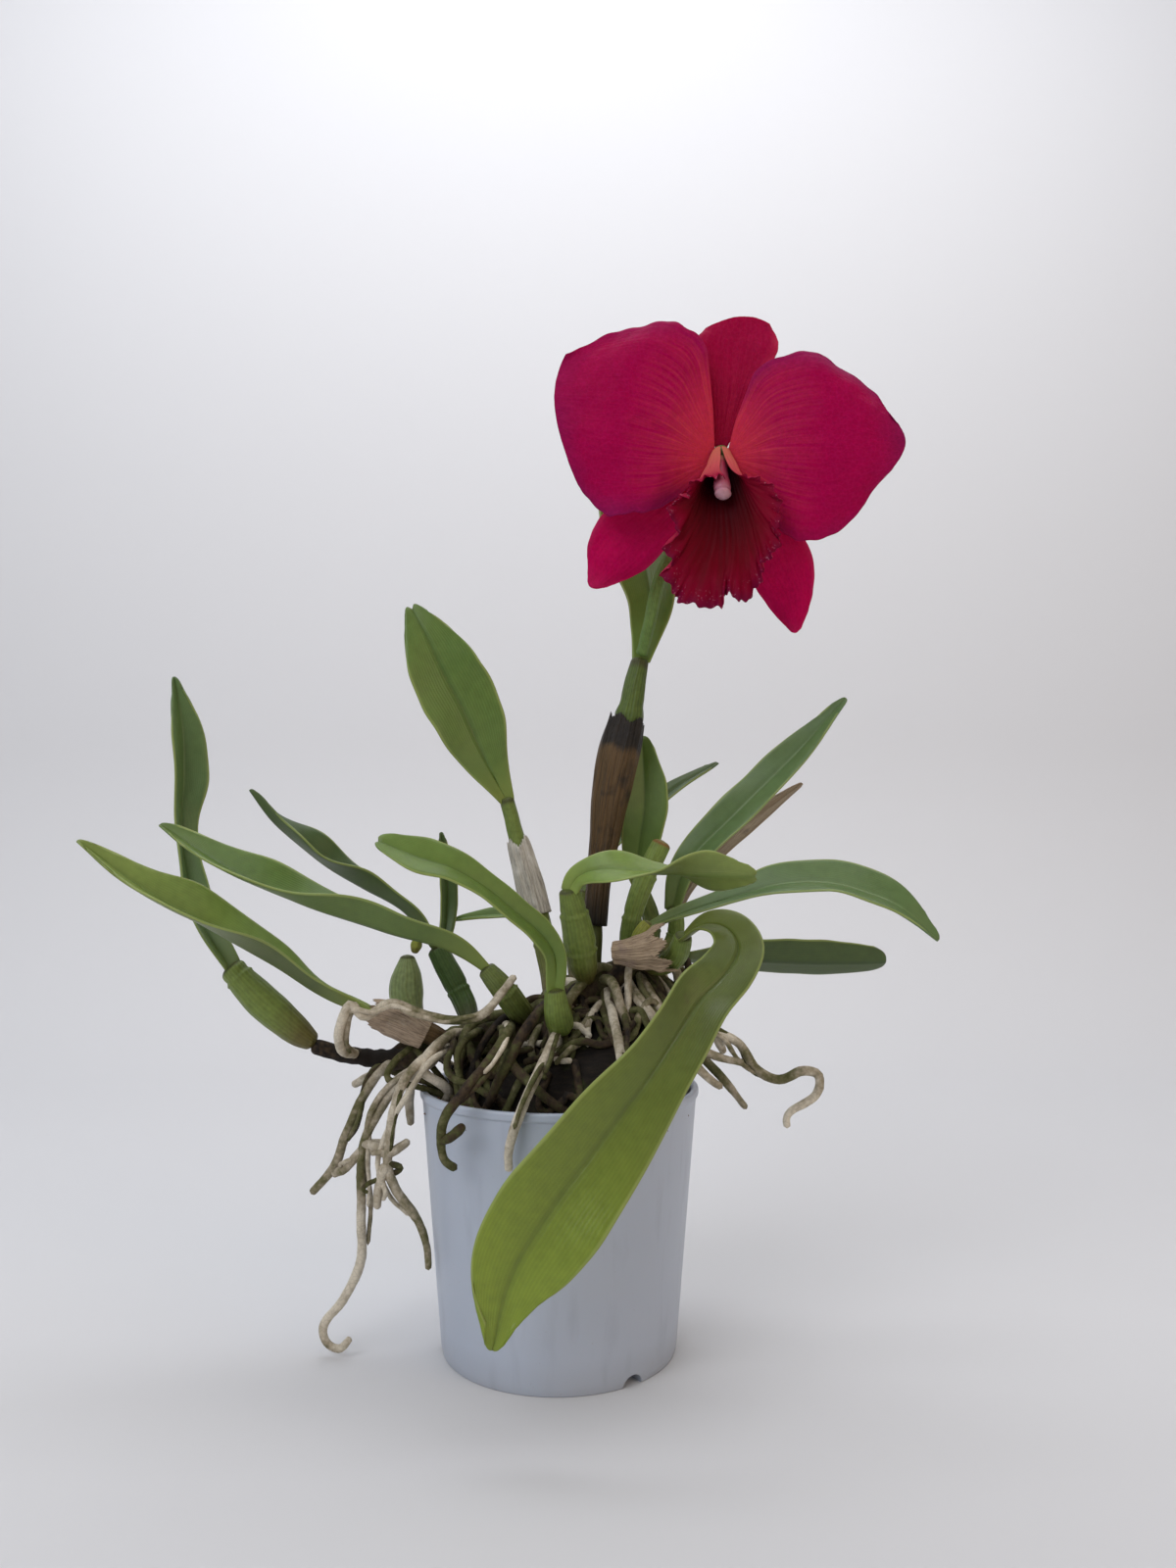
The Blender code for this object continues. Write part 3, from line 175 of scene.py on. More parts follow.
# Leaves: name, spine, half widths, facings and options.
LEAVES = [
    ("leaf_upright_left",
     [(-24, 14, 232), (-32, 12, 247), (-38, 10, 260), (-45, 7, 276), (-52, 5, 289),
      (-60, 4, 306), (-68, 5, 321)],
     [3.0, 9.0, 14.5, 17.5, 17.5, 14.5, 6.0],
     [(0.3, -1, 0.1), (0.2, -1, 0.3)],
     dict(fold=16, tip=8, notch=2, wave=0.8)),
    ("leaf_low_left",
     [(-80, -12, 140.5), (-98, -16, 149), (-119, -22, 163), (-143, -30, 179),
      (-168, -36, 194), (-194, -42, 214)],
     [4.2, 9.5, 14.0, 14.0, 11.0, 3.5],
     [(-0.1, 0, 1), (0, -0.1, 1), (0, -0.5, 0.9), (0, -0.5, 0.9)],
     dict(fold=38, tip=8, wave=0.8)),
    ("leaf_far_left",
     [(-142, -6, 159), (-156, 0, 176), (-166, 6, 197), (-171, 10, 221), (-171, 12, 245),
      (-172, 11, 267), (-175, 8, 289)],
     [4.8, 8.0, 8.5, 7.5, 8.5, 11.0, 10.5, 3.0],
     [(0.75, -0.65, 0), (0.8, -0.5, 0), (0.6, -0.7, 0)],
     dict(fold=40, tip=7, wave=0.8)),
    ("leaf_long_left",
     [(-30, -24, 160), (-46, -25, 170), (-72, -28, 178), (-105, -31, 189),
      (-133, -31, 201), (-166, -28, 221)],
     [4.0, 10.0, 13.5, 13.5, 11.0, 3.5],
     [(0, 0.3, 1), (0, 0.25, 1), (0, -0.4, 0.9), (0, -0.5, 0.9)],
     dict(fold=38, tip=7, wave=0.8)),
    ("leaf_back_left",
     [(-57, 10, 167), (-69, 9, 184), (-88, 7, 195), (-107, 3, 207), (-124, -1, 222),
      (-136, -4, 237)],
     [3.4, 7.5, 11.5, 12.0, 10.0, 3.5],
     [(0, 0.1, 1), (0, 0.1, 1), (0, -0.3, 0.9), (0, 0.3, 0.9)],
     dict(fold=38, tip=7, wave=0.8)),
    ("leaf_pale_front",
     [(-1, -42, 154), (-1, -46, 168), (-7, -50, 178), (-16, -54, 186), (-28, -58, 196),
      (-40, -61, 203), (-53, -63, 207), (-69, -64, 214)],
     [3.6, 4.6, 5.8, 6.4, 6.8, 8.4, 9.4, 5.5],
     [(0.2, -0.9, 0.3), (0.1, -0.75, 0.65), (0.1, -0.75, 0.65)],
     dict(fold=20, tip=5, notch=1)),
    ("leaf_narrow_left",
     [(-54, 15, 166), (-52, 20, 180), (-52, 21, 196), (-55, 20, 219)],
     [2.6, 4.2, 4.2, 1.8], [(0.4, -0.9, 0)], dict(fold=24, tip=5)),
    ("leaf_short_back",
     [(-9, 14, 181), (-20, 22, 182), (-34, 24, 181), (-49, 24, 179)],
     [2.8, 4.0, 3.8, 2.0], [(0, -0.6, 0.8)], dict(fold=25, tip=4)),
    ("leaf_upright_right",
     [(37, 18, 191), (35, 16, 208), (38, 14, 232), (37, 17, 263)],
     [3.0, 8.0, 10.5, 10.0, 5.5], [(0.1, -1, 0)], dict(fold=20, tip=6)),
    ("leaf_behind_stem",
     [(9, 26, 191), (17, 30, 205), (31, 36, 220), (54, 46, 240), (76, 54, 254)],
     [2.8, 5.5, 6.5, 6.0, 2.5], [(-0.5, -0.6, 0.6)], dict(fold=24, tip=6)),
    ("leaf_ascending_right",
     [(50, 10, 184), (57, 9, 205), (79, 5, 228), (103, 0, 252), (125, -8, 277)],
     [3.6, 8.0, 9.5, 8.5, 3.0],
     [(-0.3, -0.9, 0.35), (-0.4, -0.8, 0.4)],
     dict(fold=22, tip=8, wave=0.6)),
    ("leaf_dry_right",
     [(52, 13.5, 183), (62, 22, 198), (82, 26, 219), (112, 26, 242)],
     [2.4, 4.5, 6.0, 2.0], [(-0.4, -0.8, 0.5)], dict(fold=20, tip=5, thickness=0.9)),
    ("leaf_arching_right",
     [(39, -14, 178), (54, -15, 184), (73, -17, 190), (93, -21, 196), (112, -26, 197),
      (127, -31, 193), (140, -35, 187), (154, -38, 174)],
     [2.6, 4.4, 6.5, 9.5, 11.5, 11.5, 10.0, 4.5],
     [(0, -0.5, 0.9), (0.1, -0.65, 0.75), (0.3, -0.6, 0.7)],
     dict(fold=26, tip=7, wave=0.6)),
    ("leaf_level_right",
     [(57, 9, 163), (70, 16, 162), (91, 21, 161), (120, 24, 160), (149, 25, 160)],
     [3.2, 8.5, 11.0, 11.0, 7.5],
     [(-0.1, 0.75, 0.65), (0, 0.8, 0.6)],
     dict(fold=18, tip=6)),
    ("leaf_twisted_middle",
     [(4, -27, 193), (9, -31, 200), (20, -36, 203), (38, -40, 202), (58, -45, 201),
      (79, -51, 200)], [3.4, 6.0, 8.5, 7.5, 10.0, 10.5, 5.0],
     [(0, -0.9, 0.4), (0, -0.85, 0.5), (0, -0.3, 1), (0, 0.75, 0.65), (0, 0.95, 0.4)],
     dict(fold=14, tip=5, notch=1)),
    ("leaf_hanging_front",
     [(52, -28, 174), (60, -36, 180), (68, -45, 179), (71, -54, 172), (65, -62, 163),
      (54, -68, 153), (44, -75, 140), (32, -81, 124), (14, -87, 102), (-3, -91, 80),
      (-15, -93, 60), (-21, -93, 36)],
     [3.4, 7.5, 10.0, 11.5, 12.5, 14.0, 17.0, 19.0, 20.0, 20.0, 17.0, 5.0],
     [(-0.5, -0.4, 0.8), (0.1, -0.5, 0.85), (0.5, -0.75, 0.4), (0.45, -0.85, 0.3),
      (0.3, -0.9, 0.3), (0.15, -0.95, 0.25)],
     dict(fold=16, tip=10, wave=1.2)),
    ("leaf_behind_bloom",
     [(36, 4, 295), (39, 9, 310), (41, 13, 326), (38, 18, 345), (32, 22, 372),
      (28, 26, 398), (26, 28, 418)], [4.2, 9.0, 13.5, 16.0, 16.0, 13.0, 4.0],
     [(0, -1, 0.1), (-0.1, -1, 0.1)], dict(fold=18, tip=9, notch=3, wave=0.8)),
]

# Sheaths: name, spine, radii, facing, span in degrees and options.
SHEATHS = [
    ("sheath_black", [(15.2, 1.4, 178), (17, 2, 198), (20, 2, 220), (23.5, 2, 243), (30, 1, 271)],
     [4.9, 4.8, 6.0, 7.9, 8.8, 7.9], (0.1, -1, 0), 318, dict(ragged=3, teeth=6)),
    ("sheath_silver", [(-10, 10, 182), (-13.3, 11, 194), (-17, 12, 206), (-20, 12.7, 217)],
     [5.7, 5.8, 5.3, 4.7], (-0.1, -1, 0), 300, dict(ragged=4, teeth=4)),
    ("sheath_grey", [(-57, -10.6, 132.5), (-68, -12, 138), (-81, -12, 141.6)],
     [6.4, 7.2, 6.8, 5.8], (0, -1, 0.4), 290, dict(ragged=4, teeth=4)),
    ("sheath_dry_right", [(24, -14, 167), (36, -18.6, 168), (48, -21.6, 171)],
     [4.5, 7.5, 10.5], (0, -1, -0.1), 175, dict(ragged=5, teeth=5)),
]

# Petals and sepals: one edge, the midline and the other edge, in bloom millimetres.
TEPALS = [
    ("petal_left",
     [(-3, -3, -1.6), (-13, -12, 2), (-23, -20, 4), (-37, -24, 6), (-50, -23, 7), (-60, -11, 6)],
     [(-3.4, 0, -1.6), (-15, 6, 3), (-26, 11, 6), (-40, 15, 8), (-54, 17, 8), (-69, 21, 5)],
     [(-2.6, 2.6, -1.6), (-4, 26, 1), (-8, 46, 2), (-23, 54, 2), (-43, 51, 3), (-64, 42, 4)],
     3.0, 2.5),
    ("petal_right",
     [(2.8, -2.6, -1.6), (13, -16, 2), (22, -30, 4), (36, -37, 5), (53, -29, 4), (66, -11, 4)],
     [(3.4, -0.6, -1.6), (14, 2, 3), (25, 4, 6), (41, 4, 8), (58, 2, 7), (75, 1, 3)],
     [(2.8, 1.8, -1.6), (8, 19, 1), (17, 35, 2), (38, 39, 3), (60, 25, 4), (70, 12, 4)],
     3.0, 2.5),
    ("dorsal_sepal",
     [(-2, 2.6, -4.4), (-7, 26, -5), (-11, 46, -7), (-6, 55, -11)],
     [(0, 3, -4.4), (4, 26, -7), (7, 46, -10), (10, 59, -13)],
     [(2, 2.6, -4.4), (14, 26, -5), (24, 44, -7), (21, 55, -11)], 1.0, 1.5),
    ("lateral_sepal_left",
     [(-3, -1.2, -4.4), (-28, -10, -6), (-49, -21, -8), (-57, -35, -8), (-57, -48, -8)],
     [(-2.6, -2.2, -4.4), (-19, -16, -5), (-36, -30, -6), (-48, -42, -7), (-56, -53, -8)],
     [(-1.4, -3, -4.4), (-11, -20, -6), (-22, -35, -8), (-33, -46, -8), (-49, -53, -8)],
     1.0, 1.5),
    ("lateral_sepal_right",
     [(3, -1.4, -4.4), (22, -19, -6), (38, -39, -8), (39, -58, -8), (35, -70, -8)],
     [(2.4, -2.4, -4.4), (14, -24, -5), (24, -44, -6), (31, -60, -7), (32, -74, -8)],
     [(1.2, -3, -4.4), (5, -28, -6), (12, -49, -8), (20, -62, -8), (28, -71, -8)],
     1.0, 1.5),
]

# The lip's rings from its base outwards: centre right and up, half width, half height,
# and how far forward its top and its foot are.
LIP_RINGS = [(0, -1.5, 4.2, 5.0, 0.2, 0.2), (0, -10.5, 7.5, 8.5, 6, 6.5),
             (0, -23, 13.0, 15.5, 11.5, 15)]

# The lip's scalloped margin, from the left of its top round its foot to the right.
LIP_RIM = [(1, -11, 15), (-3, -11, 16), (-9, -12, 17), (-14, -15, 18), (-14, -19, 17),
           (-18, -19, 18), (-22, -25, 18), (-18, -33, 20), (-24, -40, 19), (-20, -46, 21),
           (-25, -50, 20), (-20, -57, 22), (-18, -61, 22), (-10, -63, 24), (-1, -64, 25),
           (0, -59, 24), (3, -59, 25), (8, -62, 24), (13, -57, 23), (16, -51, 22),
           (16, -47, 22), (20, -43, 20), (23, -38, 19), (22, -34, 19), (23, -27, 18),
           (23, -21, 17), (19, -15, 17), (14, -12, 16), (9, -11, 14)]

# How far round the throat the lip's two halves reach, in degrees from its foot.
LIP_LEFT = 176.0
LIP_RIGHT = 150.0


def mm(value):
    """Millimetres to metres, for a number or a point."""
    if isinstance(value, (int, float)):
        return value / 1000.0
    return Vector([c / 1000.0 for c in value])


def smooth_curve(points, t):
    """Point at t in 0..1 on a Catmull-Rom curve through the points."""
    spans = len(points) - 1
    place = min(max(t, 0.0), 1.0) * spans
    i = min(int(place), spans - 1)
    f = place - i
    p1, p2 = points[i], points[i + 1]
    p0 = points[i - 1] if i > 0 else p1 * 2 - p2
    p3 = points[i + 2] if i + 2 <= spans else p2 * 2 - p1
    return 0.5 * (p1 * 2 + (p2 - p0) * f + (p0 * 2 - p1 * 5 + p2 * 4 - p3) * f * f
                  + (p1 * 3 - p0 - p2 * 3 + p3) * f * f * f)


class Path:
    """A smooth curve through points in millimetres, read by its share of length."""

    STEPS = 200

    def __init__(self, points):
        knots = [mm(p) for p in points]
        self.samples = [smooth_curve(knots, i / self.STEPS) for i in range(self.STEPS + 1)]
        self.runs = [0.0]
        for a, b in zip(self.samples, self.samples[1:]):
            self.runs.append(self.runs[-1] + (b - a).length)
        self.length = self.runs[-1]

    def at(self, share):
        """Point at a share of the length."""
        target = min(max(share, 0.0), 1.0) * self.length
        low, high = 0, self.STEPS
        while high - low > 1:
            middle = (low + high) // 2
            if self.runs[middle] <= target:
                low = middle
            else:
                high = middle
        step = self.runs[high] - self.runs[low]
        f = (target - self.runs[low]) / step if step > 0 else 0.0
        return self.samples[low].lerp(self.samples[high], f)

    def tangent(self, share):
        """Unit direction at a share of the length."""
        return (self.at(share + 0.012) - self.at(share - 0.012)).normalized()


RHIZOME_PATH = Path(RHIZOME)


def blend_values(values, t):
    """Smooth value at t in 0..1 through evenly spaced numbers."""
    return smooth_curve([Vector((v, 0, 0)) for v in values], t).x


def ease(x):
    """Smooth step from 0 to 1 while x goes from 0 to 1."""
    x = min(max(x, 0.0), 1.0)
    return x * x * (3 - 2 * x)


def bump(x, width):
    """A rounded bump of height 1 at 0 that dies away over a width."""
    return math.exp(-(x / width) ** 2)


def square_to(direction, axis):
    """The part of a direction that stands square to a unit axis, as a unit vector."""
    return (direction - axis * direction.dot(axis)).normalized()


def ripple_noise(point, size, seed=0.0):
    """Smooth noise about -1..1 whose bumps are about size mm across."""
    return noise.noise(Vector(point) * (1000.0 / size) + Vector((seed, seed * 1.7, -seed)))


# Colour and nodes

def srgb(code):
    """An sRGB hex colour as linear values."""
    parts = [int(code[i:i + 2], 16) / 255.0 for i in (0, 2, 4)]
    return [c / 12.92 if c <= 0.04045 else ((c + 0.055) / 1.055) ** 2.4 for c in parts] + [1.0]


def add(tree, kind, *values, out=0, stops=None, **settings):
    """Add a node and return one of its outputs. The kind ends in an operation where it
    has one, values go into its sockets in the order that they show, names with a capital
    are sockets and the others are settings."""
    kind, _, operation = kind.partition(" ")
    made = tree.nodes.new(kind if "Node" in kind else "ShaderNode" + kind)
    if kind == "Mix":
        made.data_type = "RGBA"
    if operation:
        setattr(made, "blend_type" if kind == "Mix" else "operation", operation)
    for key, value in settings.items():
        if not key[0].isupper():
            setattr(made, key, value)
    if stops:
        ramp = made.color_ramp
        while len(ramp.elements) < len(stops):
            ramp.elements.new(0.5)
        for element, (place, colour) in zip(ramp.elements, stops):
            element.position = place
            element.color = srgb(colour) if isinstance(colour, str) else (*[colour] * 3, 1)
    shown = [s for s in made.inputs if s.enabled]
    named = [(made.inputs[k.replace("_", " ")], v) for k, v in settings.items()
             if k[0].isupper()]
    for socket, value in list(zip(shown, values)) + named:
        if isinstance(value, bpy.types.NodeSocket):
            tree.links.new(value, socket)
        else:
            socket.default_value = value
    if isinstance(out, str):
        return made.outputs[out]
    return [s for s in made.outputs if s.enabled][out]


def new_material(name, **values):
    """A Principled material with fixed values on its own sockets, its node tree and the
    object coordinates in it."""
    mat = bpy.data.materials.new(name)
    mat.use_nodes = True
    tree = mat.node_tree
    for key, value in values.items():
        tree.nodes["Principled BSDF"].inputs[key.replace("_", " ")].default_value = value
    return mat, tree, add(tree, "TexCoord", out="Object")


def finish(mat, colour, strength, depth, *heights, gloss=None):
    """Link colour, gloss and relief to the shader. Heights are values with their weights,
    whose sum is the relief, and depth is its size in mm."""
    tree = mat.node_tree
    relief = 0.0
    for value, weight in heights:
        relief = add(tree, "Math MULTIPLY_ADD", value, weight, relief)
    dents = add(tree, "Bump", Height=relief, Strength=strength, Distance=mm(depth))
    shader = tree.nodes["Principled BSDF"]
    tree.links.new(colour, shader.inputs["Base Color"])
    tree.links.new(dents, shader.inputs["Normal"])
    if gloss:
        tree.links.new(gloss, shader.inputs["Roughness"])
    return mat


def grain_map(tree):
    """The grain map's two directions: along a piece and across it."""
    along = add(tree, "SeparateXYZ", add(tree, "UVMap", uv_map="grain"))
    return along, along.node.outputs[1]


def coat(tree, colour, code, strength, value, stops=None, within=None):
    """Lay a colour over another where a ramp over a value is high, and only within a
    second share if one is given."""
    share = add(tree, "Math MULTIPLY", add(tree, "ValToRGB", value, stops=stops), strength)
    if within:
        share = add(tree, "Math MULTIPLY", share, within)
    return add(tree, "Mix", share, colour, srgb(code))


def shaded(tree, colour, strength, value, stops):
    """Darken and lighten a colour by a ramp over a value."""
    return add(tree, "Mix MULTIPLY", strength, colour, add(tree, "ValToRGB", value, stops=stops))


def swayed(tree, value, noise_value, amount):
    """A value moved up and down by a noise, so that a border on it runs unevenly."""
    centred = add(tree, "Math SUBTRACT", noise_value, 0.5)
    return add(tree, "Math MULTIPLY_ADD", centred, amount, value)


def fine_lines(tree, across, noise_value, bend, count):
    """Lines along a piece, from -1 to 1, that a noise bends a little."""
    place = add(tree, "Math MULTIPLY_ADD", noise_value, bend, across)
    return add(tree, "Math SINE", add(tree, "Math MULTIPLY", place, count))


def fanned_rays(tree, along, across, count, stretch, **settings):
    """Streaks that run out from the foot of a petal, as a noise."""
    spoke = add(tree, "CombineXYZ", add(tree, "Math MULTIPLY", across, count),
                add(tree, "Math MULTIPLY", along, stretch))
    return add(tree, "TexNoise", Vector=spoke, **settings)


# Materials, after the colours of the marks, dusts and rims on them

LEAF_RIM = "98A65C"
LEAF_SCAR = "4A4526"
ROT_BLACK = "0D0A08"
LIP_LOBE = "86082A"
LIP_CRUMB = "C77F93"
LIP_SHEEN = "A82C50"
POT_SHADE = "B0B9C7"
POT_LIGHT = "B9C0CC"
POT_WATER_MARK = "979DA9"
POT_FOOT_DUST = "8C8781"
POT_SPECK = "9A948A"
ALGAE = "4A5526"


def leaf_cuticle(name, upper, lower, rib, base="7C8A3E", tip=None, tip_share=0.75):
    """Leathery leaf under a waxy cuticle: a low gloss, fine lengthwise veins, a sunk
    midrib on the upper face that stands proud below, and a duller underside."""
    mat, tree, where = new_material(name, IOR=1.45, Subsurface_Weight=0.06,
                                    Subsurface_Scale=0.003, Specular_IOR_Level=0.5)
    along, across = grain_map(tree)
    under = add(tree, "Attribute", attribute_name="under", out="Fac")
    centre = add(tree, "Math ABSOLUTE", add(tree, "Math SUBTRACT", across, 0.5))
    broad = add(tree, "TexNoise", Vector=where, Scale=28.0, Detail=3.0)
    mottle = add(tree, "TexNoise", Vector=where, Scale=260.0, Detail=4.0)
    speck = add(tree, "TexNoise", Vector=where, Scale=1400.0, Detail=2.0)
    blot = add(tree, "TexNoise", Vector=where, Scale=75.0, Detail=6.0)
    lines = fine_lines(tree, across, broad, 0.05, 170.0)
    veins = add(tree, "Math MULTIPLY_ADD", lines, 0.5, 0.5)
    groove = add(tree, "ValToRGB", centre, stops=[(0.0, 1.0), (0.018, 0.75), (0.07, 0.0)])
    colour = add(tree, "Mix", under, coat(tree, srgb(upper), base, 0.45, broad),
                 coat(tree, srgb(lower), upper, 0.3, broad))
    if tip:
        colour = coat(tree, colour, tip, tip_share, along, [(0.35, 0.0), (0.9, 1.0)])
    colour = shaded(tree, colour, 0.75, mottle, [(0.3, 0.86), (0.5, 0.98), (0.72, 1.1)])
    colour = shaded(tree, colour, 0.8, veins, [(0.0, 0.93), (1.0, 1.05)])
    colour = coat(tree, colour, rib, 0.5, groove)
    colour = coat(tree, colour, lower, 0.3, centre, [(0.0, 0.0), (0.07, 0.55), (0.24, 0.0)])
    colour = coat(tree, colour, LEAF_RIM, 0.6, centre, [(0.466, 0.0), (0.488, 1.0)])
    colour = coat(tree, colour, base, 1.0, along, [(0.02, 0.85), (0.2, 0.0)])
    colour = coat(tree, colour, LEAF_SCAR, 0.5, blot, [(0.7, 0.0), (0.76, 0.8)])
    gloss = add(tree, "MapRange", mottle, To_Min=0.26, To_Max=0.42)
    gloss = add(tree, "Math MULTIPLY_ADD", under, 0.12, gloss)
    return finish(mat, colour, 0.35, 0.35, (lines, 0.16), (speck, 0.5), (groove, -0.8),
                  gloss=gloss)


def bulb_skin(name, skin, top, foot, ring="3C3A1E"):
    """Waxy skin of a ridged stem: shallow lengthwise ridges, a dark ring under the leaf
    and a browner foot where old scales dried."""
    mat, tree, where = new_material(name, IOR=1.45, Subsurface_Weight=0.06,
                                    Subsurface_Scale=0.003, Specular_IOR_Level=0.36)
    along, across = grain_map(tree)
    broad = add(tree, "TexNoise", Vector=where, Scale=45.0, Detail=4.0)
    fine = add(tree, "TexNoise", Vector=where, Scale=500.0, Detail=4.0)
    lines = fine_lines(tree, across, broad, 0.03, 150.0)
    stripes = add(tree, "Math MULTIPLY_ADD", lines, 0.5, 0.5)
    colour = add(tree, "Mix", broad, srgb(skin), srgb(top))
    colour = coat(tree, colour, foot, 1.0, swayed(tree, along, broad, 0.3),
                  [(0.08, 0.9), (0.45, 0.0)])
    colour = shaded(tree, colour, 0.7, stripes, [(0.0, 0.86), (1.0, 1.1)])
    colour = shaded(tree, colour, 0.7, fine, [(0.3, 0.75), (0.7, 1.2)])
    colour = coat(tree, colour, ring, 1.0, along, [(0.955, 0.0), (0.975, 0.9), (1.0, 0.35)])
    return finish(mat, colour, 0.5, 0.5, (lines, 0.25), (fine, 1.0),
                  gloss=add(tree, "MapRange", fine, To_Min=0.36, To_Max=0.6))


def papery_scale(name, pale, dark, stain, stain_share=0.45, rough=0.82, ends=0.0):
    """A withered sheath: thin dead tissue whose fibres run lengthwise, split and stained."""
    mat, tree, where = new_material(name, Roughness=rough, IOR=1.4)
    along = grain_map(tree)[0]
    lengthwise = add(tree, "Mapping", Vector=add(tree, "UVMap", uv_map="grain"),
                     Scale=(1.6, 26.0, 1.0))
    fibre = add(tree, "TexNoise", Vector=lengthwise, Scale=2.4, Detail=8.0, Roughness=0.65)
    blot = add(tree, "TexNoise", Vector=where, Scale=90.0, Detail=6.0)
    grain = add(tree, "TexNoise", Vector=where, Scale=1100.0, Detail=3.0)
    colour = add(tree, "ValToRGB", fibre, stops=[(0.3, dark), (0.52, pale), (0.75, pale)])
    colour = coat(tree, colour, stain, 0.8, blot, [(stain_share, 0.0), (stain_share + 0.14, 1.0)])
    if ends:
        length = add(tree, "Math MULTIPLY_ADD", blot, 0.16, along)
        colour = coat(tree, colour, ROT_BLACK, ends, length,
                      [(0.12, 1.0), (0.34, 0.1), (0.9, 0.0), (0.95, 1.0)])
    return finish(mat, colour, 0.8, 0.8, (fibre, 1.0), (grain, 0.3))


def velamen(name):
    """Spongy skin of aerial roots: silvery when dry, greener where it is damp or thin,
    brown where it is old, with hairline cracks across it. Its darkest tints, on the mound,
    are partly painted shade between the roots."""
    mat, tree, where = new_material(name, Roughness=0.85, IOR=1.4)
    tint = add(tree, "Attribute", attribute_name="tint", out="Fac")
    broad = add(tree, "TexNoise", Vector=where, Scale=55.0, Detail=5.0, Roughness=0.6)
    fine = add(tree, "TexNoise", Vector=where, Scale=420.0, Detail=5.0)
    cells = add(tree, "TexVoronoi", Vector=where, Scale=480.0, feature="DISTANCE_TO_EDGE")
    share = swayed(tree, swayed(tree, tint, broad, 1.5), fine, 0.5)
    tone = add(tree, "ValToRGB", share,
               stops=[(0.0, "1A130C"), (0.16, "403222"), (0.34, "4E502A"), (0.52, "716C4C"),
                      (0.72, "A89C86"), (0.95, "D6CCB8")])
    crack = add(tree, "ValToRGB", cells, stops=[(0.0, 0.72), (0.12, 1.0)])
    return finish(mat, add(tree, "Mix MULTIPLY", 0.6, tone, crack), 0.7, 0.6, (fine, 1.0),
                  (crack, 0.4))


def velvet_tepal(name, middle, margin, heart, ray, edge, net):
    """Petal tissue: rows of small pointed cells give a velvet sheen, rays run out from
    the heart, and a paler net of veins breaks the colour up."""
    mat, tree, where = new_material(name, IOR=1.4, Sheen_Weight=0.02, Sheen_Roughness=0.4,
                                    Sheen_Tint=srgb(net), Subsurface_Weight=0.1,
                                    Subsurface_Scale=0.002, Specular_IOR_Level=0.07)
    reach, turn = grain_map(tree)
    rim = add(tree, "Attribute", attribute_name="margin", out="Fac")
    rays = fanned_rays(tree, reach, turn, 46.0, 1.6, Scale=1.3, Detail=6.0, Distortion=0.2)
    broad = add(tree, "TexNoise", Vector=where, Scale=55.0, Detail=4.0)
    fine = add(tree, "TexNoise", Vector=where, Scale=620.0, Detail=5.0, Roughness=0.7)
    netting = add(tree, "TexVoronoi", Vector=where, Scale=520.0, feature="DISTANCE_TO_EDGE")
    fade = add(tree, "ValToRGB", reach, stops=[(0.1, 1.0), (0.62, 0.0)])
    colour = coat(tree, srgb(middle), edge, 0.65, broad)
    colour = coat(tree, colour, ray, 0.62, rays, [(0.4, 0.0), (0.7, 1.0)], fade)
    colour = coat(tree, colour, heart, 0.85, swayed(tree, reach, rays, 0.3),
                  [(0.03, 1.0), (0.36, 0.0)])
    colour = coat(tree, colour, margin, 0.85, swayed(tree, rim, broad, 0.5),
                  [(0.4, 0.0), (1.0, 1.0)])
    colour = coat(tree, colour, net, 0.34, netting, [(0.0, 1.0), (0.16, 0.0)], fine)
    colour = shaded(tree, colour, 0.8, fine, [(0.3, 0.86), (0.7, 1.14)])
    return finish(mat, colour, 0.5, 0.7, (rays, 0.8), (fine, 0.35),
                  gloss=add(tree, "MapRange", fine, To_Min=0.42, To_Max=0.62))


def velvet_lip(name):
    """The lip's velvet: deep red in the throat, painted down to nearly black there as shade
    inside the funnel, crimson lobes, a salmon roof, and a pale crumbled rim."""
    mat, tree, where = new_material(name, IOR=1.4, Sheen_Weight=0.02, Sheen_Roughness=0.35,
                                    Sheen_Tint=srgb(LIP_SHEEN), Subsurface_Weight=0.05,
                                    Subsurface_Scale=0.001, Specular_IOR_Level=0.08)
    reach, turn = grain_map(tree)
    under = add(tree, "Attribute", attribute_name="under", out="Fac")
    fine = add(tree, "TexNoise", Vector=where, Scale=700.0, Detail=5.0)
    crumb = add(tree, "TexNoise", Vector=where, Scale=900.0, Detail=3.0)
    rays = fanned_rays(tree, reach, turn, 60.0, 3.0, Scale=1.0, Detail=5.0)
    # From the throat out: deep red, painted near black at the foot as shade inside the funnel.
    colour = add(tree, "ValToRGB", swayed(tree, reach, rays, 0.16),
                 stops=[(0.3, "2A0006"), (0.6, "4C000A"), (0.8, "660014"), (0.94, "7A0024"),
                        (1.0, "6A0830")])
    aside = add(tree, "Math ABSOLUTE", add(tree, "Math SUBTRACT", turn, 0.5))
    colour = coat(tree, colour, LIP_LOBE, 0.5, aside, [(0.22, 0.0), (0.4, 1.0)])
    back = add(tree, "ValToRGB", reach, stops=[(0.1, "CB6E5E"), (0.5, "CB565A"), (1.0, "A01A40")])
    colour = add(tree, "Mix", under, colour, back)
    outer = add(tree, "ValToRGB", reach, stops=[(0.88, 0.0), (0.99, 1.0)])
    colour = coat(tree, colour, LIP_CRUMB, 0.45, crumb, [(0.62, 0.0), (0.68, 1.0)], outer)
    colour = shaded(tree, colour, 0.8, rays, [(0.3, 0.9), (0.7, 1.1)])
    return finish(mat, colour, 0.5, 0.6, (rays, 1.0), (fine, 0.3),
                  gloss=add(tree, "MapRange", fine, To_Min=0.4, To_Max=0.65))


